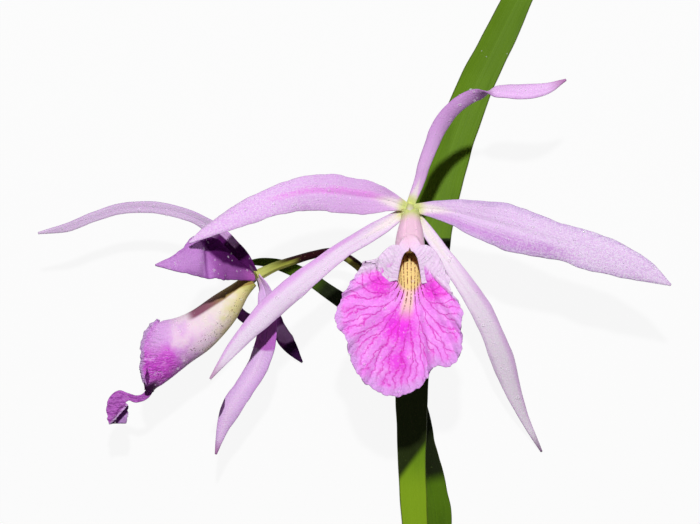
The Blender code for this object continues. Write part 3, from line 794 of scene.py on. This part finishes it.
def lip_shape(rings, rim, tube_share, across, along, overlap, stiffness):
    """The lip's points: rings along the tube, then a smooth flare from the last ring to the rim.

    A ring is (across, upward, facing, half width, half height, pitch, half angle in degrees). The
    rim is the outline of the blade, from one end of the last ring round the tip to its other end.
    """
    rings = np.array(rings, float)
    in_tube = np.minimum(along / tube_share, 1)
    x, y, z, half_width, half_height, pitch, half_angle = smooth(
        np.linspace(0, 1, len(rings)), rings, in_tube
    ).T
    closed = np.clip(half_angle - 110, 0, 50) / 50 * (1 - in_tube ** 5)
    turn = np.radians(half_angle + overlap * closed) * across
    tilt = np.radians(pitch)
    swell = 1 + 0.07 * across * closed
    down = -np.cos(turn) * half_height * swell
    mouth = np.stack(
        [x + np.sin(turn) * half_width * swell, y + down * np.cos(tilt), z + down * np.sin(tilt)], 1
    )
    flared = np.clip((along - tube_share) / (1 - tube_share), 0, 1)[:, None]
    at_rim = smooth(shares(rim), rim, (across + 1) / 2)
    away = at_rim - mouth
    length = np.linalg.norm(away, axis=1, keepdims=True)
    forward = unit(rings[-1, :3] - rings[-2, :3]) * length * stiffness
    leaving = unit(away * (1, 1, 0)) * length * 0.9
    points = (
        mouth * (1 + 2 * flared) * (1 - flared) ** 2 + forward * flared * (1 - flared) ** 2
        + at_rim * flared * flared * (3 - 2 * flared) + leaving * flared * flared * (flared - 1)
    )
    return points, flared[:, 0]


FRONT_RINGS = [
    (0.0, -0.9, 2.05, 2.2, 2.0, 41, 110), (-0.1, -3.7, 5.2, 2.55, 2.7, 41, 170),
    (-0.4, -8.2, 10.6, 3.55, 3.5, 38, 176), (-0.6, -12.6, 15.6, 3.9, 4.3, 28, 178),
    (-0.6, -17.8, 19.0, 3.6, 4.9, 15, 183),
]
FRONT_RIM = [
    (-3.9, -20.4, 20.2), (-5.8, -20.7, 20.4), (-7.7, -19.4, 20.8), (-9.4, -17.4, 21.3),
    (-10.6, -15.4, 22.0), (-12.5, -15.3, 21.9), (-15.8, -19.5, 21.0),
    (-19.4, -25.4, 20.5), (-20.9, -32.4, 20.5), (-18.4, -35.6, 20.5), (-16.9, -42.0, 19.5),
    (-12.6, -48.8, 18.5), (-4.4, -52.4, 18.0), (3.4, -48.6, 18.5), (6.0, -44.2, 20.0),
    (11.0, -43.8, 19.5), (13.8, -38.0, 20.5), (13.4, -33.0, 21.0), (13.8, -29.0, 21.0),
    (10.6, -23.2, 21.5), (9.5, -18.4, 21.6), (8.3, -17.0, 21.5), (6.7, -19.3, 20.9),
    (4.5, -21.2, 20.4), (2.6, -20.9, 20.2),
]
FRONT_TUBE_SHARE = 0.34
LOBE_START = 0.24
LOBE_MIDDLE = 0.88
LOBE_HEIGHT = 5.4
FRILL_HEIGHT = 0.8
FINE_FRILL_HEIGHT = 0.28
PLEAT_HEIGHT = 0.35
front_lip, across, along = grid("front_lip", 320, 130)
points, flared = lip_shape(
    FRONT_RINGS, FRONT_RIM, FRONT_TUBE_SHARE, across, along, overlap=18, stiffness=0.5
)
rim_share = (across + 1) / 2
frill = flared ** 3
blade_only = np.clip((0.84 - np.abs(across)) / 0.08, 0, 1)
lobe_flare = np.clip((along - LOBE_START) / (1 - LOBE_START), 0, 1)
lobe_width = 0.12 - 0.05 * lobe_flare
lobe_ridge = np.exp(-((np.abs(across) - LOBE_MIDDLE) / lobe_width) ** 2)
stand_out = LOBE_HEIGHT * np.sin(math.pi * lobe_flare ** 0.85) * lobe_ridge
points[:, 0] += 0.62 * np.sign(across) * stand_out
points[:, 1] += 0.9 * (1 - lobe_flare) * stand_out
lobe_only = np.clip((np.abs(across) - 0.84) / 0.16, 0, 1)
points[:, 0] += 0.9 * np.sign(across) * np.sin(math.pi * flared ** 0.75) * lobe_only
lobe_wave = ripple(rim_share * 5 + flared, 1.1, 45)
points[:, 2] += 0.3 * np.sin(math.pi * flared) * (1 - blade_only) * lobe_wave
points[:, :2] += (0.3 * frill * (1 - blade_only) * ripple(rim_share, 46, 46))[:, None] * (0.4, 1)
points[:, 2] += FRILL_HEIGHT * frill * blade_only * ripple(rim_share, 13, 41)
fine_height = FINE_FRILL_HEIGHT * frill ** 2 * (0.2 + 0.8 * blade_only)
points[:, 2] += fine_height * ripple(rim_share, 44, 42)
points[:, :2] += (0.3 * frill * ripple(rim_share, 34, 43))[:, None] * unit(points[:, :2] - (-3, -26))
pleats = np.abs(np.sin(math.pi * (7 * rim_share + 0.3 * ripple(flared, 2, 44))))
points[:, 2] += PLEAT_HEIGHT * np.sin(math.pi * flared) * pleats * blade_only
shape(front_lip, front.place(points))


def record_flow(piece, fan, reach):
    """Keep on the mesh which vein line each vertex lies on, and how far out on it."""
    for name, values in (("fan", fan), ("reach", reach)):
        layer = piece.data.attributes.new(name, "FLOAT", "POINT")
        layer.data.foreach_set("value", np.asarray(values, np.float32))


record_flow(front_lip, across, np.where(along < FRONT_TUBE_SHARE, along / FRONT_TUBE_SHARE - 1, flared))
thicken(front_lip, LIP_THICKNESS)


def vein_lines(made, line, reach, forks, wander):
    """How near each place is to a vein, from 0 to 0.5, for veins that fork as they run out."""
    drift = made.times_plus(made.noise(0.22, 2), wander, -wander / 2)
    drift = made.times_plus(made.noise(0.9, 2), wander * 0.35, drift)
    away = made.apart(made.reckon("FRACT", made.reckon("ADD", line, drift)), 0.5)
    uneven = made.noise(0.2, 1)
    spread = 0.25
    for start in forks:
        begin = made.times_plus(uneven, 0.5, start - 0.25)
        finish = made.reckon("ADD", begin, 0.3)
        away = made.apart(away, made.step(reach, begin, finish, 0, spread))
        spread = spread / 2
    return away


velvet = Finish("lip_velvet", "F08CF2", 0.5)
fan, reach = velvet.attribute("fan"), velvet.attribute("reach")
to_side = velvet.apart(fan)
# Paler patches, and deeper magenta down the middle of the blade and under both lobes.
patches = velvet.noise(0.25, 4)
velvet.coat("F6A2F8", (patches, 0.44, 0.64), 0.8)
velvet.coat("F03CE6", velvet.near((13.6, -18.0), 4.9, 6.4))
velvet.coat("F044E6", velvet.near((13.4, -27.5), 3.2, 4.2), 0.9)
velvet.coat("F046E0", velvet.near((8.0, -6.5), 3.4, 4.4))
velvet.coat("F046E0", velvet.near((22.8, -7.8), 3.2, 4.2))
# Magenta veins that fork three times on their way out, each with a soft border.
bend = velvet.step(reach, 0.0, 1.0, 0.45, 1.0)
lines = velvet.times(velvet.reckon("DIVIDE", fan, bend), 5.5)
vein_gap = vein_lines(velvet, lines, reach, (0.3, 0.55, 0.85), 0.6)
vein_width = velvet.step(reach, 0.0, 1.0, 0.048, 0.024)
vein = velvet.step(vein_gap, vein_width, velvet.times(vein_width, 0.2))
velvet.coat("E23CC8", (vein_gap, velvet.times(vein_width, 3.2), 0.0), 0.45)
velvet.coat("E030C4", vein, (reach, 1.0, 0.7, 0.3, 0.75))
# Fine grain, and the paler lilac of the frilled margin.
grain = velvet.noise(1.8, 4)
velvet.coat("FBBAFC", (grain, 0.52, 0.66), 0.28)
velvet.coat("E04AD2", (grain, 0.42, 0.32), 0.35)
margin = velvet.step(velvet.times_plus(patches, 0.3, reach), 1.0, 1.14)
velvet.coat("E0A6EC", margin, 0.85)
velvet.coat("CC92DB", margin, (grain, 0.5, 0.4), 0.5)
# The two side lobes, nearly white with lilac flecks.
lobe = velvet.step(velvet.times_plus(grain, 0.04, to_side), 0.7, 0.78)
velvet.coat("E9CDEC", lobe)
velvet.coat("D6B0DE", lobe, (grain, 0.46, 0.34), 0.5)
velvet.coat("F0DFF3", lobe, (grain, 0.56, 0.66), 0.6)
# The tube: pale walls, and a yellow floor with a paler tongue, brown lines and painted shade deep
# inside.
wall = velvet.step(reach, 0.12, -0.3)
velvet.coat("F4C8E0", wall, (to_side, 0.3, 0.44))
velvet.coat("EADBDC", wall, (to_side, 0.66, 0.52), 0.7)
floor_of_tube = velvet.step(to_side, 0.44, 0.34)
velvet.coat("EACF8C", floor_of_tube, (reach, 0.16, 0.0))
tongue = velvet.times(velvet.step(to_side, 0.14, 0.06), velvet.step(reach, 0.42, 0.2))
velvet.coat("F2CDB6", tongue, (reach, 0.0, 0.12), 0.85)
stripes = velvet.apart(velvet.reckon("FRACT", velvet.times(fan, 11)), 0.5)
dots = velvet.patches(1.6, 1, 0.42, 0.5)
guides = velvet.times(velvet.step(stripes, 0.17, 0.08), dots)
inside = velvet.step(reach, 0.34, 0.16)
velvet.coat("74201F", guides, inside, (to_side, 0.46, 0.38))
# Painted shade, dark brown, deep in the tube.
velvet.coat("5F3610", floor_of_tube, (reach, -0.25, -0.5), 0.95)
velvet.coat("CDD680", (reach, -0.56, -0.82))
velvet.relief(velvet.times(vein, velvet.step(reach, -0.05, 0.1)), -0.06)
velvet.relief(grain, 0.15)
velvet.relief(velvet.times(patches, velvet.step(to_side, 0.84, 0.78)), 0.4)
flesh_light(velvet, 0.06, (1.0, 0.4, 0.9), 0.6)
hand_over(front_lip, velvet.done(), "lip", "front_lip")


# ----------------------------------------------------------
# The side flower's stalk and ovary: it leaves the fork, arches over and ends behind the flower,
# green, with painted shade in dark maroon over the arch and down one side.
# ----------------------------------------------------------
side_ovary = stem(
    "side_ovary",
    [(10.4, -12.0, 7.5, PEDICEL_RADIUS * 0.9), (6.4, -5.4, 11.0, PEDICEL_RADIUS),
     (1.5, -0.4, 14.0, PEDICEL_RADIUS), (-5.2, 2.9, 18.0, PEDICEL_RADIUS * 0.85),
     (-10.9, 2.0, 21.0, PEDICEL_RADIUS * 0.85), (-15.6, 0.6, 23.2, PEDICEL_RADIUS * 0.9),
     (-21.0, -1.2, 25.6, OVARY_RADIUS * 0.72), (-26.8, -4.0, 28.0, OVARY_RADIUS * 0.9)],
    UP, columns=42, rows=150, outline=ovary_ribs,
)


def stalk_painted_shade(made):
    """Painted shade in dark maroon: down the side away from the front flower, and all round the arch.
    """
    onward = made.axis("X")
    shade_down_side = made.times(made.step(made.across, 0.48, 0.58), made.step(onward, -24, -17))
    arch = made.between(onward, (-18, -14), (0, -3))
    # Both are painted shade, laid in dark maroon.
    made.coat("260D12", made.reckon("MAXIMUM", shade_down_side, arch))


side_skin = stem_finish(
    "side_ovary_skin", "7F8434", "A0A44A", "7A5A3C", ("B9BE68", 0.8, 1.0), more=stalk_painted_shade
)
hand_over(side_ovary, side_skin, "stem", "side_ovary")


# ----------------------------------------------------------
# The side flower's sepals and petals, seen from behind and edge on: the same lilac flesh, deeper
# and more purple on the backs, with deep purple painted shade over much of them, and the near petal
# creased across its middle.
# ----------------------------------------------------------
side = Flower((-26.8, -4.0, 28.0), (-0.613, 0.79, 0), (-0.79, -0.613, 0))
BACK = (-0.8, -0.4, -0.48)
AWAY = (-0.8, -0.5, 0.4)
TILT = (-0.45, 0, 0.9)

side_dorsal = side.tepal(
    "side_dorsal_sepal", 90, SEPAL_SEAT, (1.2, 30, (-0.5, -0.4, 0.5)),
    [(-30.0, 1.2, 28.4, 2.0, 20, (-0.4, -0.4, 0.9)), (-33.1, 4.1, 28.8, 2.5, 10, (-0.3, -0.4, 0.9)),
     (-37.6, 8.3, 29.4, 2.8, 10, (-0.3, -0.5, 0.8)),
     (-42.0, 11.6, 29.8, 2.0, 15, (-0.2, -0.5, 0.85)), (-48.6, 14.2, 30.0, 1.8, 15, (-0.1, -0.4, 0.9)),
     (-56.7, 15.6, 30.4, 1.8, 15, (0, -0.4, 0.9)), (-64.9, 15.2, 30.6, 1.65, 15, (0.1, -0.4, 0.9)),
     (-72.8, 12.8, 30.4, 1.48, 10, (0.1, -0.4, 0.9)), (-80.5, 9.8, 30.0, 1.3, 10, (0.1, -0.4, 0.9)),
     (-88.6, 8.2, 29.6, 0.3, 0, (0.1, -0.4, 0.9))],
    seed=51, ruffle=0.1, keel=0.05,
)


def dorsal_painted_shade(made):
    """The sepal's foot pinker, then painted shade in deep purple over it but for one margin, which
    stays pinker.
    """
    made.coat("DFA6EA", (made.along, 0.26, 0.2), 0.7)
    foot = made.times(made.step(made.along, 0.27, 0.2), made.step(made.across, 0.62, 0.52))
    # Painted shade in deep purple over the foot.
    made.coat("581C60", made.reckon("MAXIMUM", foot, made.step(made.along, 0.135, 0.12)))


# Its foot colour, at the seat, is the same deep purple painted shade.
side_dorsal_flesh = tepal_finish(
    "side_dorsal_flesh", "E2C8EA", "CBA8D6", "ECDDF0", "DFC0E8", (0.5, 0.4, 0.0, 1.0), claw=0.04,
    grainy=0.3, foot="581C60", gloss=0.0, more=dorsal_painted_shade,
)
hand_over(side_dorsal, side_dorsal_flesh, "sepal", "side_dorsal_sepal")


def near_petal_painted_shade(made):
    """The near petal's back: painted shadow in dark purple under the sepal, painted shade in violet
    up to its crease with a darker painted line in it, a pinker foot, and its own lilac beyond.
    """
    # Painted shade in violet up to the crease.
    made.coat("94489E", (made.along, 0.6, 0.45), 0.8)
    made.coat("B35EB4", (made.along, 0.2, 0.02), 0.9)
    # Painted shadow, dark purple, over the part under the sepal.
    made.coat("4C1654", made.near((-27.1, 14.7), 16.9, 1.2))
    # A darker painted line of shade in the crease.
    crossing = made.times_plus(made.across, -0.1, made.reckon("ADD", made.along, -0.49))
    made.coat("7A3488", (made.apart(crossing), 0.035, 0.0), 0.7)


def crease(across, along):
    """The soft fold that crosses the near petal a little past its middle."""
    return 0 * across, 0.9 * np.exp(-((along - 0.52 - 0.1 * across) / 0.06) ** 2)


side_near = side.tepal(
    "side_petal_near", 0, PETAL_SEAT, (1.2, 20, BACK),
    [(-30.3, -2.3, 33.0, 3.1, 20, BACK), (-32.6, -0.8, 37.0, 4.7, 15, BACK),
     (-36.4, 1.4, 42.9, 6.9, 10, BACK), (-40.2, 1.7, 48.5, 6.5, 10, BACK),
     (-44.0, 0.3, 54.3, 4.1, 10, BACK), (-48.0, -0.5, 59.1, 2.2, 5, BACK),
     (-52.5, -0.8, 63.5, 0.3, 0, BACK)],
    seed=52, ruffle=0.5, keel=0.3, fold=crease,
)
side_far = side.tepal(
    "side_petal_far", 180, PETAL_SEAT, (1.2, 20, AWAY),
    [(-30.5, -6.6, 21.0, 2.0, 15, AWAY), (-33.2, -10.6, 13.5, 2.3, 10, AWAY),
     (-32.4, -14.0, 7.6, 2.4, 10, (-0.5, -0.4, 0.8)), (-29.8, -16.8, 3.4, 2.2, 5, (-0.3, -0.2, 0.9)),
     (-26.6, -18.6, 0.75, 0.3, 0, (-0.3, -0.2, 1))],
    seed=53, ruffle=0.2, keel=0.2,
)
side_petal_flesh = tepal_finish(
    "side_petal_flesh", "C486D2", "A062B0", "D6A2E2", "CC90DA", (0.5, 0.4, 0.5, 1.0), claw=0.03,
    grainy=0.6, foot="B35EB4", gloss=0.0, more=near_petal_painted_shade,
)


def far_sepal_light_and_shade(made):
    """A patch of painted light on the far sepal, and painted shade darkening its end."""
    # A lighter patch as painted light, then painted shade over the end.
    made.coat("CB98D6", made.near((-18.9, -20.9), 2.9, 1.0), 0.85)
    made.coat("260A32", made.near((-16.2, -27.6), 4.2, 0.8), 0.9)


# A darker copy of the side flower's flesh: painted shade for the far petal and the far sepal.
shaded_flesh = tepal_finish(
    "side_shaded_flesh", "6E3276", "44194A", "8A4E94", "7C4086", (0.5, 0.4, 0.5, 1.0), claw=0.03,
    grainy=0.4, foot="5A2A60", gloss=0.0, more=far_sepal_light_and_shade,
)
hand_over(side_near, side_petal_flesh, "petal", "side_petal_near")
hand_over(side_far, shaded_flesh, "petal", "side_petal_far")

side_sepal_near = side.tepal(
    "side_sepal_near", -35, SEPAL_SEAT, (1.2, 30, (-0.7, -0.4, 0.6)),
    [(-24.0, -7.8, 31.8, 2.2, 25, (-0.6, -0.2, 0.8)), (-23.4, -11.6, 32.0, 2.9, 15, TILT),
     (-23.3, -17.0, 31.6, 3.1, 10, TILT), (-24.1, -23.8, 30.8, 3.3, 5, TILT),
     (-26.6, -30.3, 29.8, 3.2, 0, TILT), (-30.3, -36.0, 28.6, 3.0, -10, (-0.3, 0, 0.9)),
     (-34.0, -41.9, 27.2, 3.0, -15, (-0.2, 0, 0.9)), (-36.6, -48.2, 25.6, 1.6, -10),
     (-38.4, -55.0, 24.0, 0.3, 0)],
    seed=54, ruffle=0.25, keel=0.2,
)
side_sepal_far = side.tepal(
    "side_sepal_far", 215, SEPAL_SEAT, (1.2, 30, (-0.6, -0.5, 0.6)),
    [(-24.0, -8.8, 21.6, 2.2, 20, (-0.5, -0.4, 0.8)), (-22.8, -13.6, 15.4, 2.9, 10, (-0.5, -0.2, 0.8)),
     (-20.8, -19.2, 9.0, 3.3, 5, (-0.5, 0, 0.8)), (-17.8, -24.8, 3.8, 2.2, 0, (-0.3, 0, 1)),
     (-14.2, -29.6, 0.75, 0.3, 0, (0, 0.3, 1))],
    seed=55, ruffle=0.2, keel=0.2,
)


def shaded_sepal(made):
    """Painted shade in purple where another sepal crosses above this one, and darker painted
    shade on an edge turned in near its end.
    """
    made.coat("B85EC2", made.near((-23.4, -18.6), 6.6, 1.0), 0.9)
    made.coat("40184A", made.near((-43.0, -39.5), 7.4, 0.3), 0.9)


side_sepal_flesh = tepal_finish(
    "side_sepal_flesh", "DCB4E8", "C08CCC", "E6CCEE", "EAC8F0", (0.5, 0.35, 0.4, 1.0), claw=0.05,
    tip_colour="A868A0", grainy=0.5, foot="DCC4D6", gloss=0.0, more=shaded_sepal,
)
hand_over(side_sepal_near, side_sepal_flesh, "sepal", "side_sepal_near")
hand_over(side_sepal_far, shaded_flesh, "sepal", "side_sepal_far")


# ----------------------------------------------------------
# The side flower's column and anther cap, deep in its lip: the same wax and the same cream cap.
# ----------------------------------------------------------
column_and_cap(
    side, "side_column", "side_anther_cap",
    [(0, 0.2, 0.85), (0, -0.3, 4.0), (0, -1.2, 9.5), (0, -1.9, 17.0)],
)


# ----------------------------------------------------------
# The side lip, seen from its side: a yellow-green tube that swells to a crumpled magenta mouth
# with a frilled margin, and a narrow curled neck that ends in a twisted spoon.
# ----------------------------------------------------------
SIDE_RINGS = [
    (0.0, 0.0, 1.7, 2.0, 2.0, 0, 110), (0.0, -0.6, 5.5, 2.6, 2.4, 0, 165),
    (0.0, -1.9, 12.7, 4.4, 4.3, 0, 170), (0.0, -2.6, 21.6, 5.3, 5.5, -8, 172),
    (0.0, -1.7, 28.6, 6.4, 6.5, -20, 166), (0.0, -0.6, 34.8, 7.4, 9.0, -37, 158),
]
SIDE_RIM_HALF = [
    (-2.4, 7.3, 30.2), (-6.2, 7.3, 33.4), (-8.8, 4.1, 37.7), (-7.8, -1.6, 42.5), (-4.5, -6.3, 44.4),
]
SIDE_RIM = [*SIDE_RIM_HALF, (0.0, -8.2, 43.8), *[(-x, y, z) for x, y, z in reversed(SIDE_RIM_HALF)]]
SIDE_TUBE_SHARE = 0.66
MOUTH_WAVE = 0.55
MOUTH_RUFFLE = 0.2
MOUTH_DROOP = 0.6
side_lip, across, along = grid("side_lip", 220, 130)
points, flared = lip_shape(
    SIDE_RINGS, SIDE_RIM, SIDE_TUBE_SHARE, across, along, overlap=18, stiffness=0.9
)
rim_share = (across + 1) / 2
frill = flared ** 2
crumple = np.clip((along - 0.45) / 0.4, 0, 1)
swell = 1 + 0.03 * frill * ripple(rim_share, 9, 61) + 0.012 * frill * ripple(rim_share, 26, 62)
points[:, :2] *= swell[:, None]
ruffled = MOUTH_WAVE * ripple(rim_share, 8, 63) + MOUTH_RUFFLE * ripple(rim_share, 24, 64)
points[:, 2] += frill * (ruffled - MOUTH_DROOP)
points[:, :2] *= (1 + 0.012 * crumple * ripple(rim_share * 2 + along, 8, 65))[:, None]
shape(side_lip, side.place(points))
flow = np.where(along < SIDE_TUBE_SHARE, along / SIDE_TUBE_SHARE - 1, flared)
record_flow(side_lip, across, flow)
thicken(side_lip, LIP_THICKNESS)


def spoon_twist(across, along):
    """The blade at the end folds over itself along a slanting line."""
    far = np.clip((along - 0.55) / 0.45, 0, 1)
    line = 1.8 * (along - 0.62) / 0.38 - 1
    over = 1 / (1 + np.exp((line - across) / 0.06))
    return 0.2 * far * ripple(along, 9, 66), 1.3 * far * over + 0.2 * far * ripple(along, 7, 67)


neck = strap(
    "side_lip_neck",
    [(-54.4, -33.2, 28.0, 1.0, 30), (-56.6, -35.8, 28.0, 1.0, 40),
     (-58.3, -38.2, 28.0, 1.0, 40), (-60.9, -39.0, 28.0, 1.0, 30),
     (-63.2, -38.4, 28.0, 1.1, 20), (-65.3, -38.9, 28.0, 2.6, 10),
     (-66.2, -41.3, 27.8, 3.0, 10), (-66.2, -43.8, 27.4, 2.9, 10),
     (-66.2, -45.9, 27.0, 2.4, 0)],
    24, 90, LIP_THICKNESS, seed=68, ruffle=0.5, keel=0.2, waves=4, fold=spoon_twist, tip=0.4,
)
record_flow(neck, np.zeros(len(neck.data.vertices)), np.full(len(neck.data.vertices), 2.0))
bpy.ops.object.select_all(action="DESELECT")
neck.select_set(True)
side_lip.select_set(True)
bpy.context.view_layer.objects.active = side_lip
bpy.ops.object.join()

bell = Finish("side_lip_velvet", "D488E0", 0.5)
fan, reach = bell.attribute("fan"), bell.attribute("reach")
to_side = bell.apart(fan)
soft = bell.noise(0.25, 3)
reached = bell.reckon("ADD", reach, bell.times_plus(soft, 0.5, -0.25))
# The crumpled mouth: magenta on its wrinkles, paler between them and towards its top.
wrinkles = bell.noise(1.0, 4, bell.scaled(bell.place, (0.5, 1.5, 0.6)), 1.4)
crumpled = bell.step(reached, -0.3, 0.1)
bell.coat("D456D6", bell.near((-54.0, -28.4), 5.6, 4.0), 0.95)
bell.coat("BE42C2", (wrinkles, 0.54, 0.6), crumpled, 0.85)
bell.coat("E6A2EC", (wrinkles, 0.46, 0.38), crumpled, 0.8)
bell.coat("D8A8E0", (to_side, 0.45, 0.75), (reach, 1.0, 0.1), 0.9)
# The tube runs through white and cream to yellow-green at its foot.
bell.coat("E9CFE2", (reached, -0.08, -0.36))
bell.coat("E8DCD6", (reached, -0.35, -0.55))
bell.coat("DCD496", (bell.times_plus(to_side, 0.6, reached), -0.25, -0.5))
bell.coat("B4B257", (reached, -0.78, -0.96))
# Painted shadow of the near petal along the top edge of the tube: maroon, browner towards its foot.
rising = bell.times_plus(reach, -0.3, to_side)
shadow_along_top = bell.times(bell.step(rising, 0.78, 0.84), bell.step(reach, -0.33, -0.42))
bell.coat("7A2F50", shadow_along_top, 0.9)
bell.coat("A08E40", shadow_along_top, (reach, -0.5, -0.7), 0.8)
# The greyer margin, dark spots low on the tube, painted shade under the mouth and a narrow dark
# wedge of painted shade in the mouth.
margin = bell.step(bell.times_plus(soft, 0.2, reach), 0.78, 0.98)
bell.coat("C3A0D0", margin, 0.85)
spots = bell.patches(2.6, 1, 0.64, 0.69)
low = bell.between(to_side, (0.1, 0.18), (0.44, 0.34))
bell.coat("4A2420", spots, low, (reach, -0.1, -0.3))
bell.coat("3A0C3E", (to_side, 0.3, 0.22), bell.between(reach, (-0.05, 0.45), (1.5, 1.3)))
# A narrow wedge of painted shade in the mouth.
beside = bell.apart(bell.axis("X"), -57.5)
below = bell.apart(bell.axis("Y"), -24.2)
fold_shade = bell.times_plus(below, -0.25, bell.times(beside, -1.0))
bell.coat("5A1060", (bell.times_plus(soft, 0.8, fold_shade), -0.4, -0.1), 0.9)
# The neck and the spoon: wrinkled violet, with a painted highlight on the fold across its blade
# and painted shade beside it.
spoon = bell.step(reach, 1.4, 1.6)
bell.coat("B862C0", spoon)
bell.coat("8A3694", spoon, (wrinkles, 0.5, 0.62), 0.7)
bell.coat("CC88D4", spoon, (wrinkles, 0.46, 0.36), 0.6)
slant = bell.times_plus(bell.axis("Y"), -0.676, 24.92)
slant = bell.times_plus(bell.axis("X"), 0.737, slant)
blade = bell.times(spoon, bell.near((-65.8, -43.2), 5.0, 0.4))
bell.coat("B688C6", blade, (slant, 0.9, 1.3))
# Painted shade beside the fold.
bell.coat("2E0A36", blade, bell.between(slant, (0.0, 0.1), (1.5, 1.1)))
# Painted highlight along the fold.
bell.coat("CFA0DA", blade, bell.between(slant, (-0.55, -0.3), (0.1, 0.0)))
bell.relief(bell.times(wrinkles, crumpled), 0.55)
bell.relief(bell.noise(1.4, 3), 0.12)
flesh_light(bell, 0.04, (1.0, 0.5, 0.8), 0.6)
hand_over(side_lip, bell.done(), "lip", "side_lip")


# ----------------------------------------------------------
# Dew: clear beads of water that stand on the petals, sepals, lips and leaves after misting.
# One bead is a flattened ball; copies of it sit on random places of what they wet.
# ----------------------------------------------------------
SMALL_BEAD = 0.2
LARGE_BEAD = 0.55
LOWEST_SLOPE = 0.2
bpy.ops.mesh.primitive_ico_sphere_add(subdivisions=2, radius=1.0)
bead = bpy.context.object
bead_points = np.array([vertex.co for vertex in bead.data.vertices], float) * (1, 1, 0.6)
bead_faces = np.array([face.vertices for face in bead.data.polygons])
bpy.data.objects.remove(bead, do_unlink=True)

water = Finish("dew_water", "FBF4FD", 0.06)
water.tune({"IOR": 1.33, "Specular IOR Level": 1.0, "Alpha": 0.22})
dew_water = water.done()


def dew(host, slot, count, seed):
    """Beads on the faces of the host that look up, mostly small ones."""
    chance = np.random.default_rng(seed)
    wet = host.data.polygons
    centres, normals = read(wet, "center"), read(wet, "normal")
    weight = read(wet, "area", 1)[:, 0] * (normals[:, 2] > LOWEST_SLOPE)
    chosen = chance.choice(len(weight), count, p=weight / weight.sum())
    points, faces = [], []
    for place, (centre, normal) in enumerate(zip(centres[chosen], normals[chosen])):
        radius = SMALL_BEAD + (LARGE_BEAD - SMALL_BEAD) * chance.random() ** 3
        sideways = unit(np.cross(normal, (0.3, 1, 0.1)))
        axes = np.stack([sideways, np.cross(normal, sideways), normal])
        points.append(centre + (bead_points * radius * MM) @ axes + normal * radius * 0.25 * MM)
        faces.append(bead_faces + place * len(bead_points))
    mesh = bpy.data.meshes.new(host.name + "_dew")
    mesh.from_pydata(np.concatenate(points).tolist(), [], np.concatenate(faces).tolist())
    mesh.shade_smooth()
    beads = bpy.data.objects.new(mesh.name, mesh)
    bpy.context.scene.collection.objects.link(beads)
    hand_over(beads, dew_water, slot)


for host, slot, count in (
    (petal_left, "petal", 60), (petal_right, "petal", 100), (dorsal, "sepal", 30),
    (sepal_left, "sepal", 24), (sepal_right, "sepal", 20), (front_lip, "lip", 70),
    (side_dorsal, "sepal", 24), (side_near, "petal", 26), (side_lip, "lip", 70),
    (side_sepal_near, "sepal", 12), (leaf_long, "leaf", 14), (leaf_short, "leaf", 6),
):
    dew(host, slot, count, seed=70 + count)


# ----------------------------------------------------------
# The table, the lamp and the camera: a pale floor under the spray, one lamp high over the leaf
# tips with a soft fill from the sky, and the camera straight above, looking down.
# ----------------------------------------------------------
def seen_or_mirrored(tree):
    """1 for what the camera sees, also in gloss and through water."""
    path = tree.nodes.new("ShaderNodeLightPath").outputs
    total = path["Is Camera Ray"]
    for name in ("Is Glossy Ray", "Is Transmission Ray"):
        total = node(tree, "Math", {0: total, 1: path[name]}, operation="MAXIMUM")
    return total


TABLE_WIDTH = 3.0
TABLE_GLOW = 0.92
SKY_FILL = 0.05
LAMP_PLACE = (0.0, 0.34, 0.94)
TABLE_GAP = 0.0002
CAMERA_HEIGHT = 0.740
bpy.ops.mesh.primitive_plane_add(size=TABLE_WIDTH, location=(0, 0, -TABLE_GAP))
floor = bpy.context.object
floor.name = "table"
paint = bpy.data.materials.new("table_paint")
paint.use_nodes = True
tree = paint.node_tree
tree.nodes.remove(tree.nodes["Principled BSDF"])
matt = node(tree, "BsdfDiffuse", {"Color": (0.6, 0.6, 0.6, 1)})
glowing = node(tree, "Emission", {"Color": (1, 1, 1, 1)})
share = node(tree, "Math", {0: seen_or_mirrored(tree), 1: TABLE_GLOW}, operation="MULTIPLY")
surface = node(tree, "MixShader", {0: share, 1: matt, 2: glowing})
tree.links.new(surface, tree.nodes["Material Output"].inputs["Surface"])
floor.data.materials.append(paint)

sky = bpy.data.worlds.new("sky")
bpy.context.scene.world = sky
sky.use_nodes = True
tree = sky.node_tree
background = tree.nodes["Background"]
background.inputs["Color"].default_value = (1, 1, 1, 1)
light = {"Value": seen_or_mirrored(tree), "To Min": SKY_FILL, "To Max": 1.0}
tree.links.new(node(tree, "MapRange", light), background.inputs["Strength"])

bpy.ops.object.light_add(type="AREA", location=LAMP_PLACE)
lamp = bpy.context.object
lamp.data.shape = "DISK"
lamp.data.size = 0.04
lamp.data.energy = 9.9
away = np.linalg.norm(LAMP_PLACE)
lamp.rotation_euler = (
    -math.atan2(LAMP_PLACE[1], LAMP_PLACE[2]), math.asin(LAMP_PLACE[0] / away), 0
)

bpy.ops.object.camera_add(location=(-PLAN_MIDDLE[0] * MM, -PLAN_MIDDLE[1] * MM, CAMERA_HEIGHT))
camera = bpy.context.object
camera.data.sensor_width = 36
camera.data.lens = 128.6
bpy.context.scene.camera = camera
bpy.context.scene.view_settings.view_transform = "Standard"
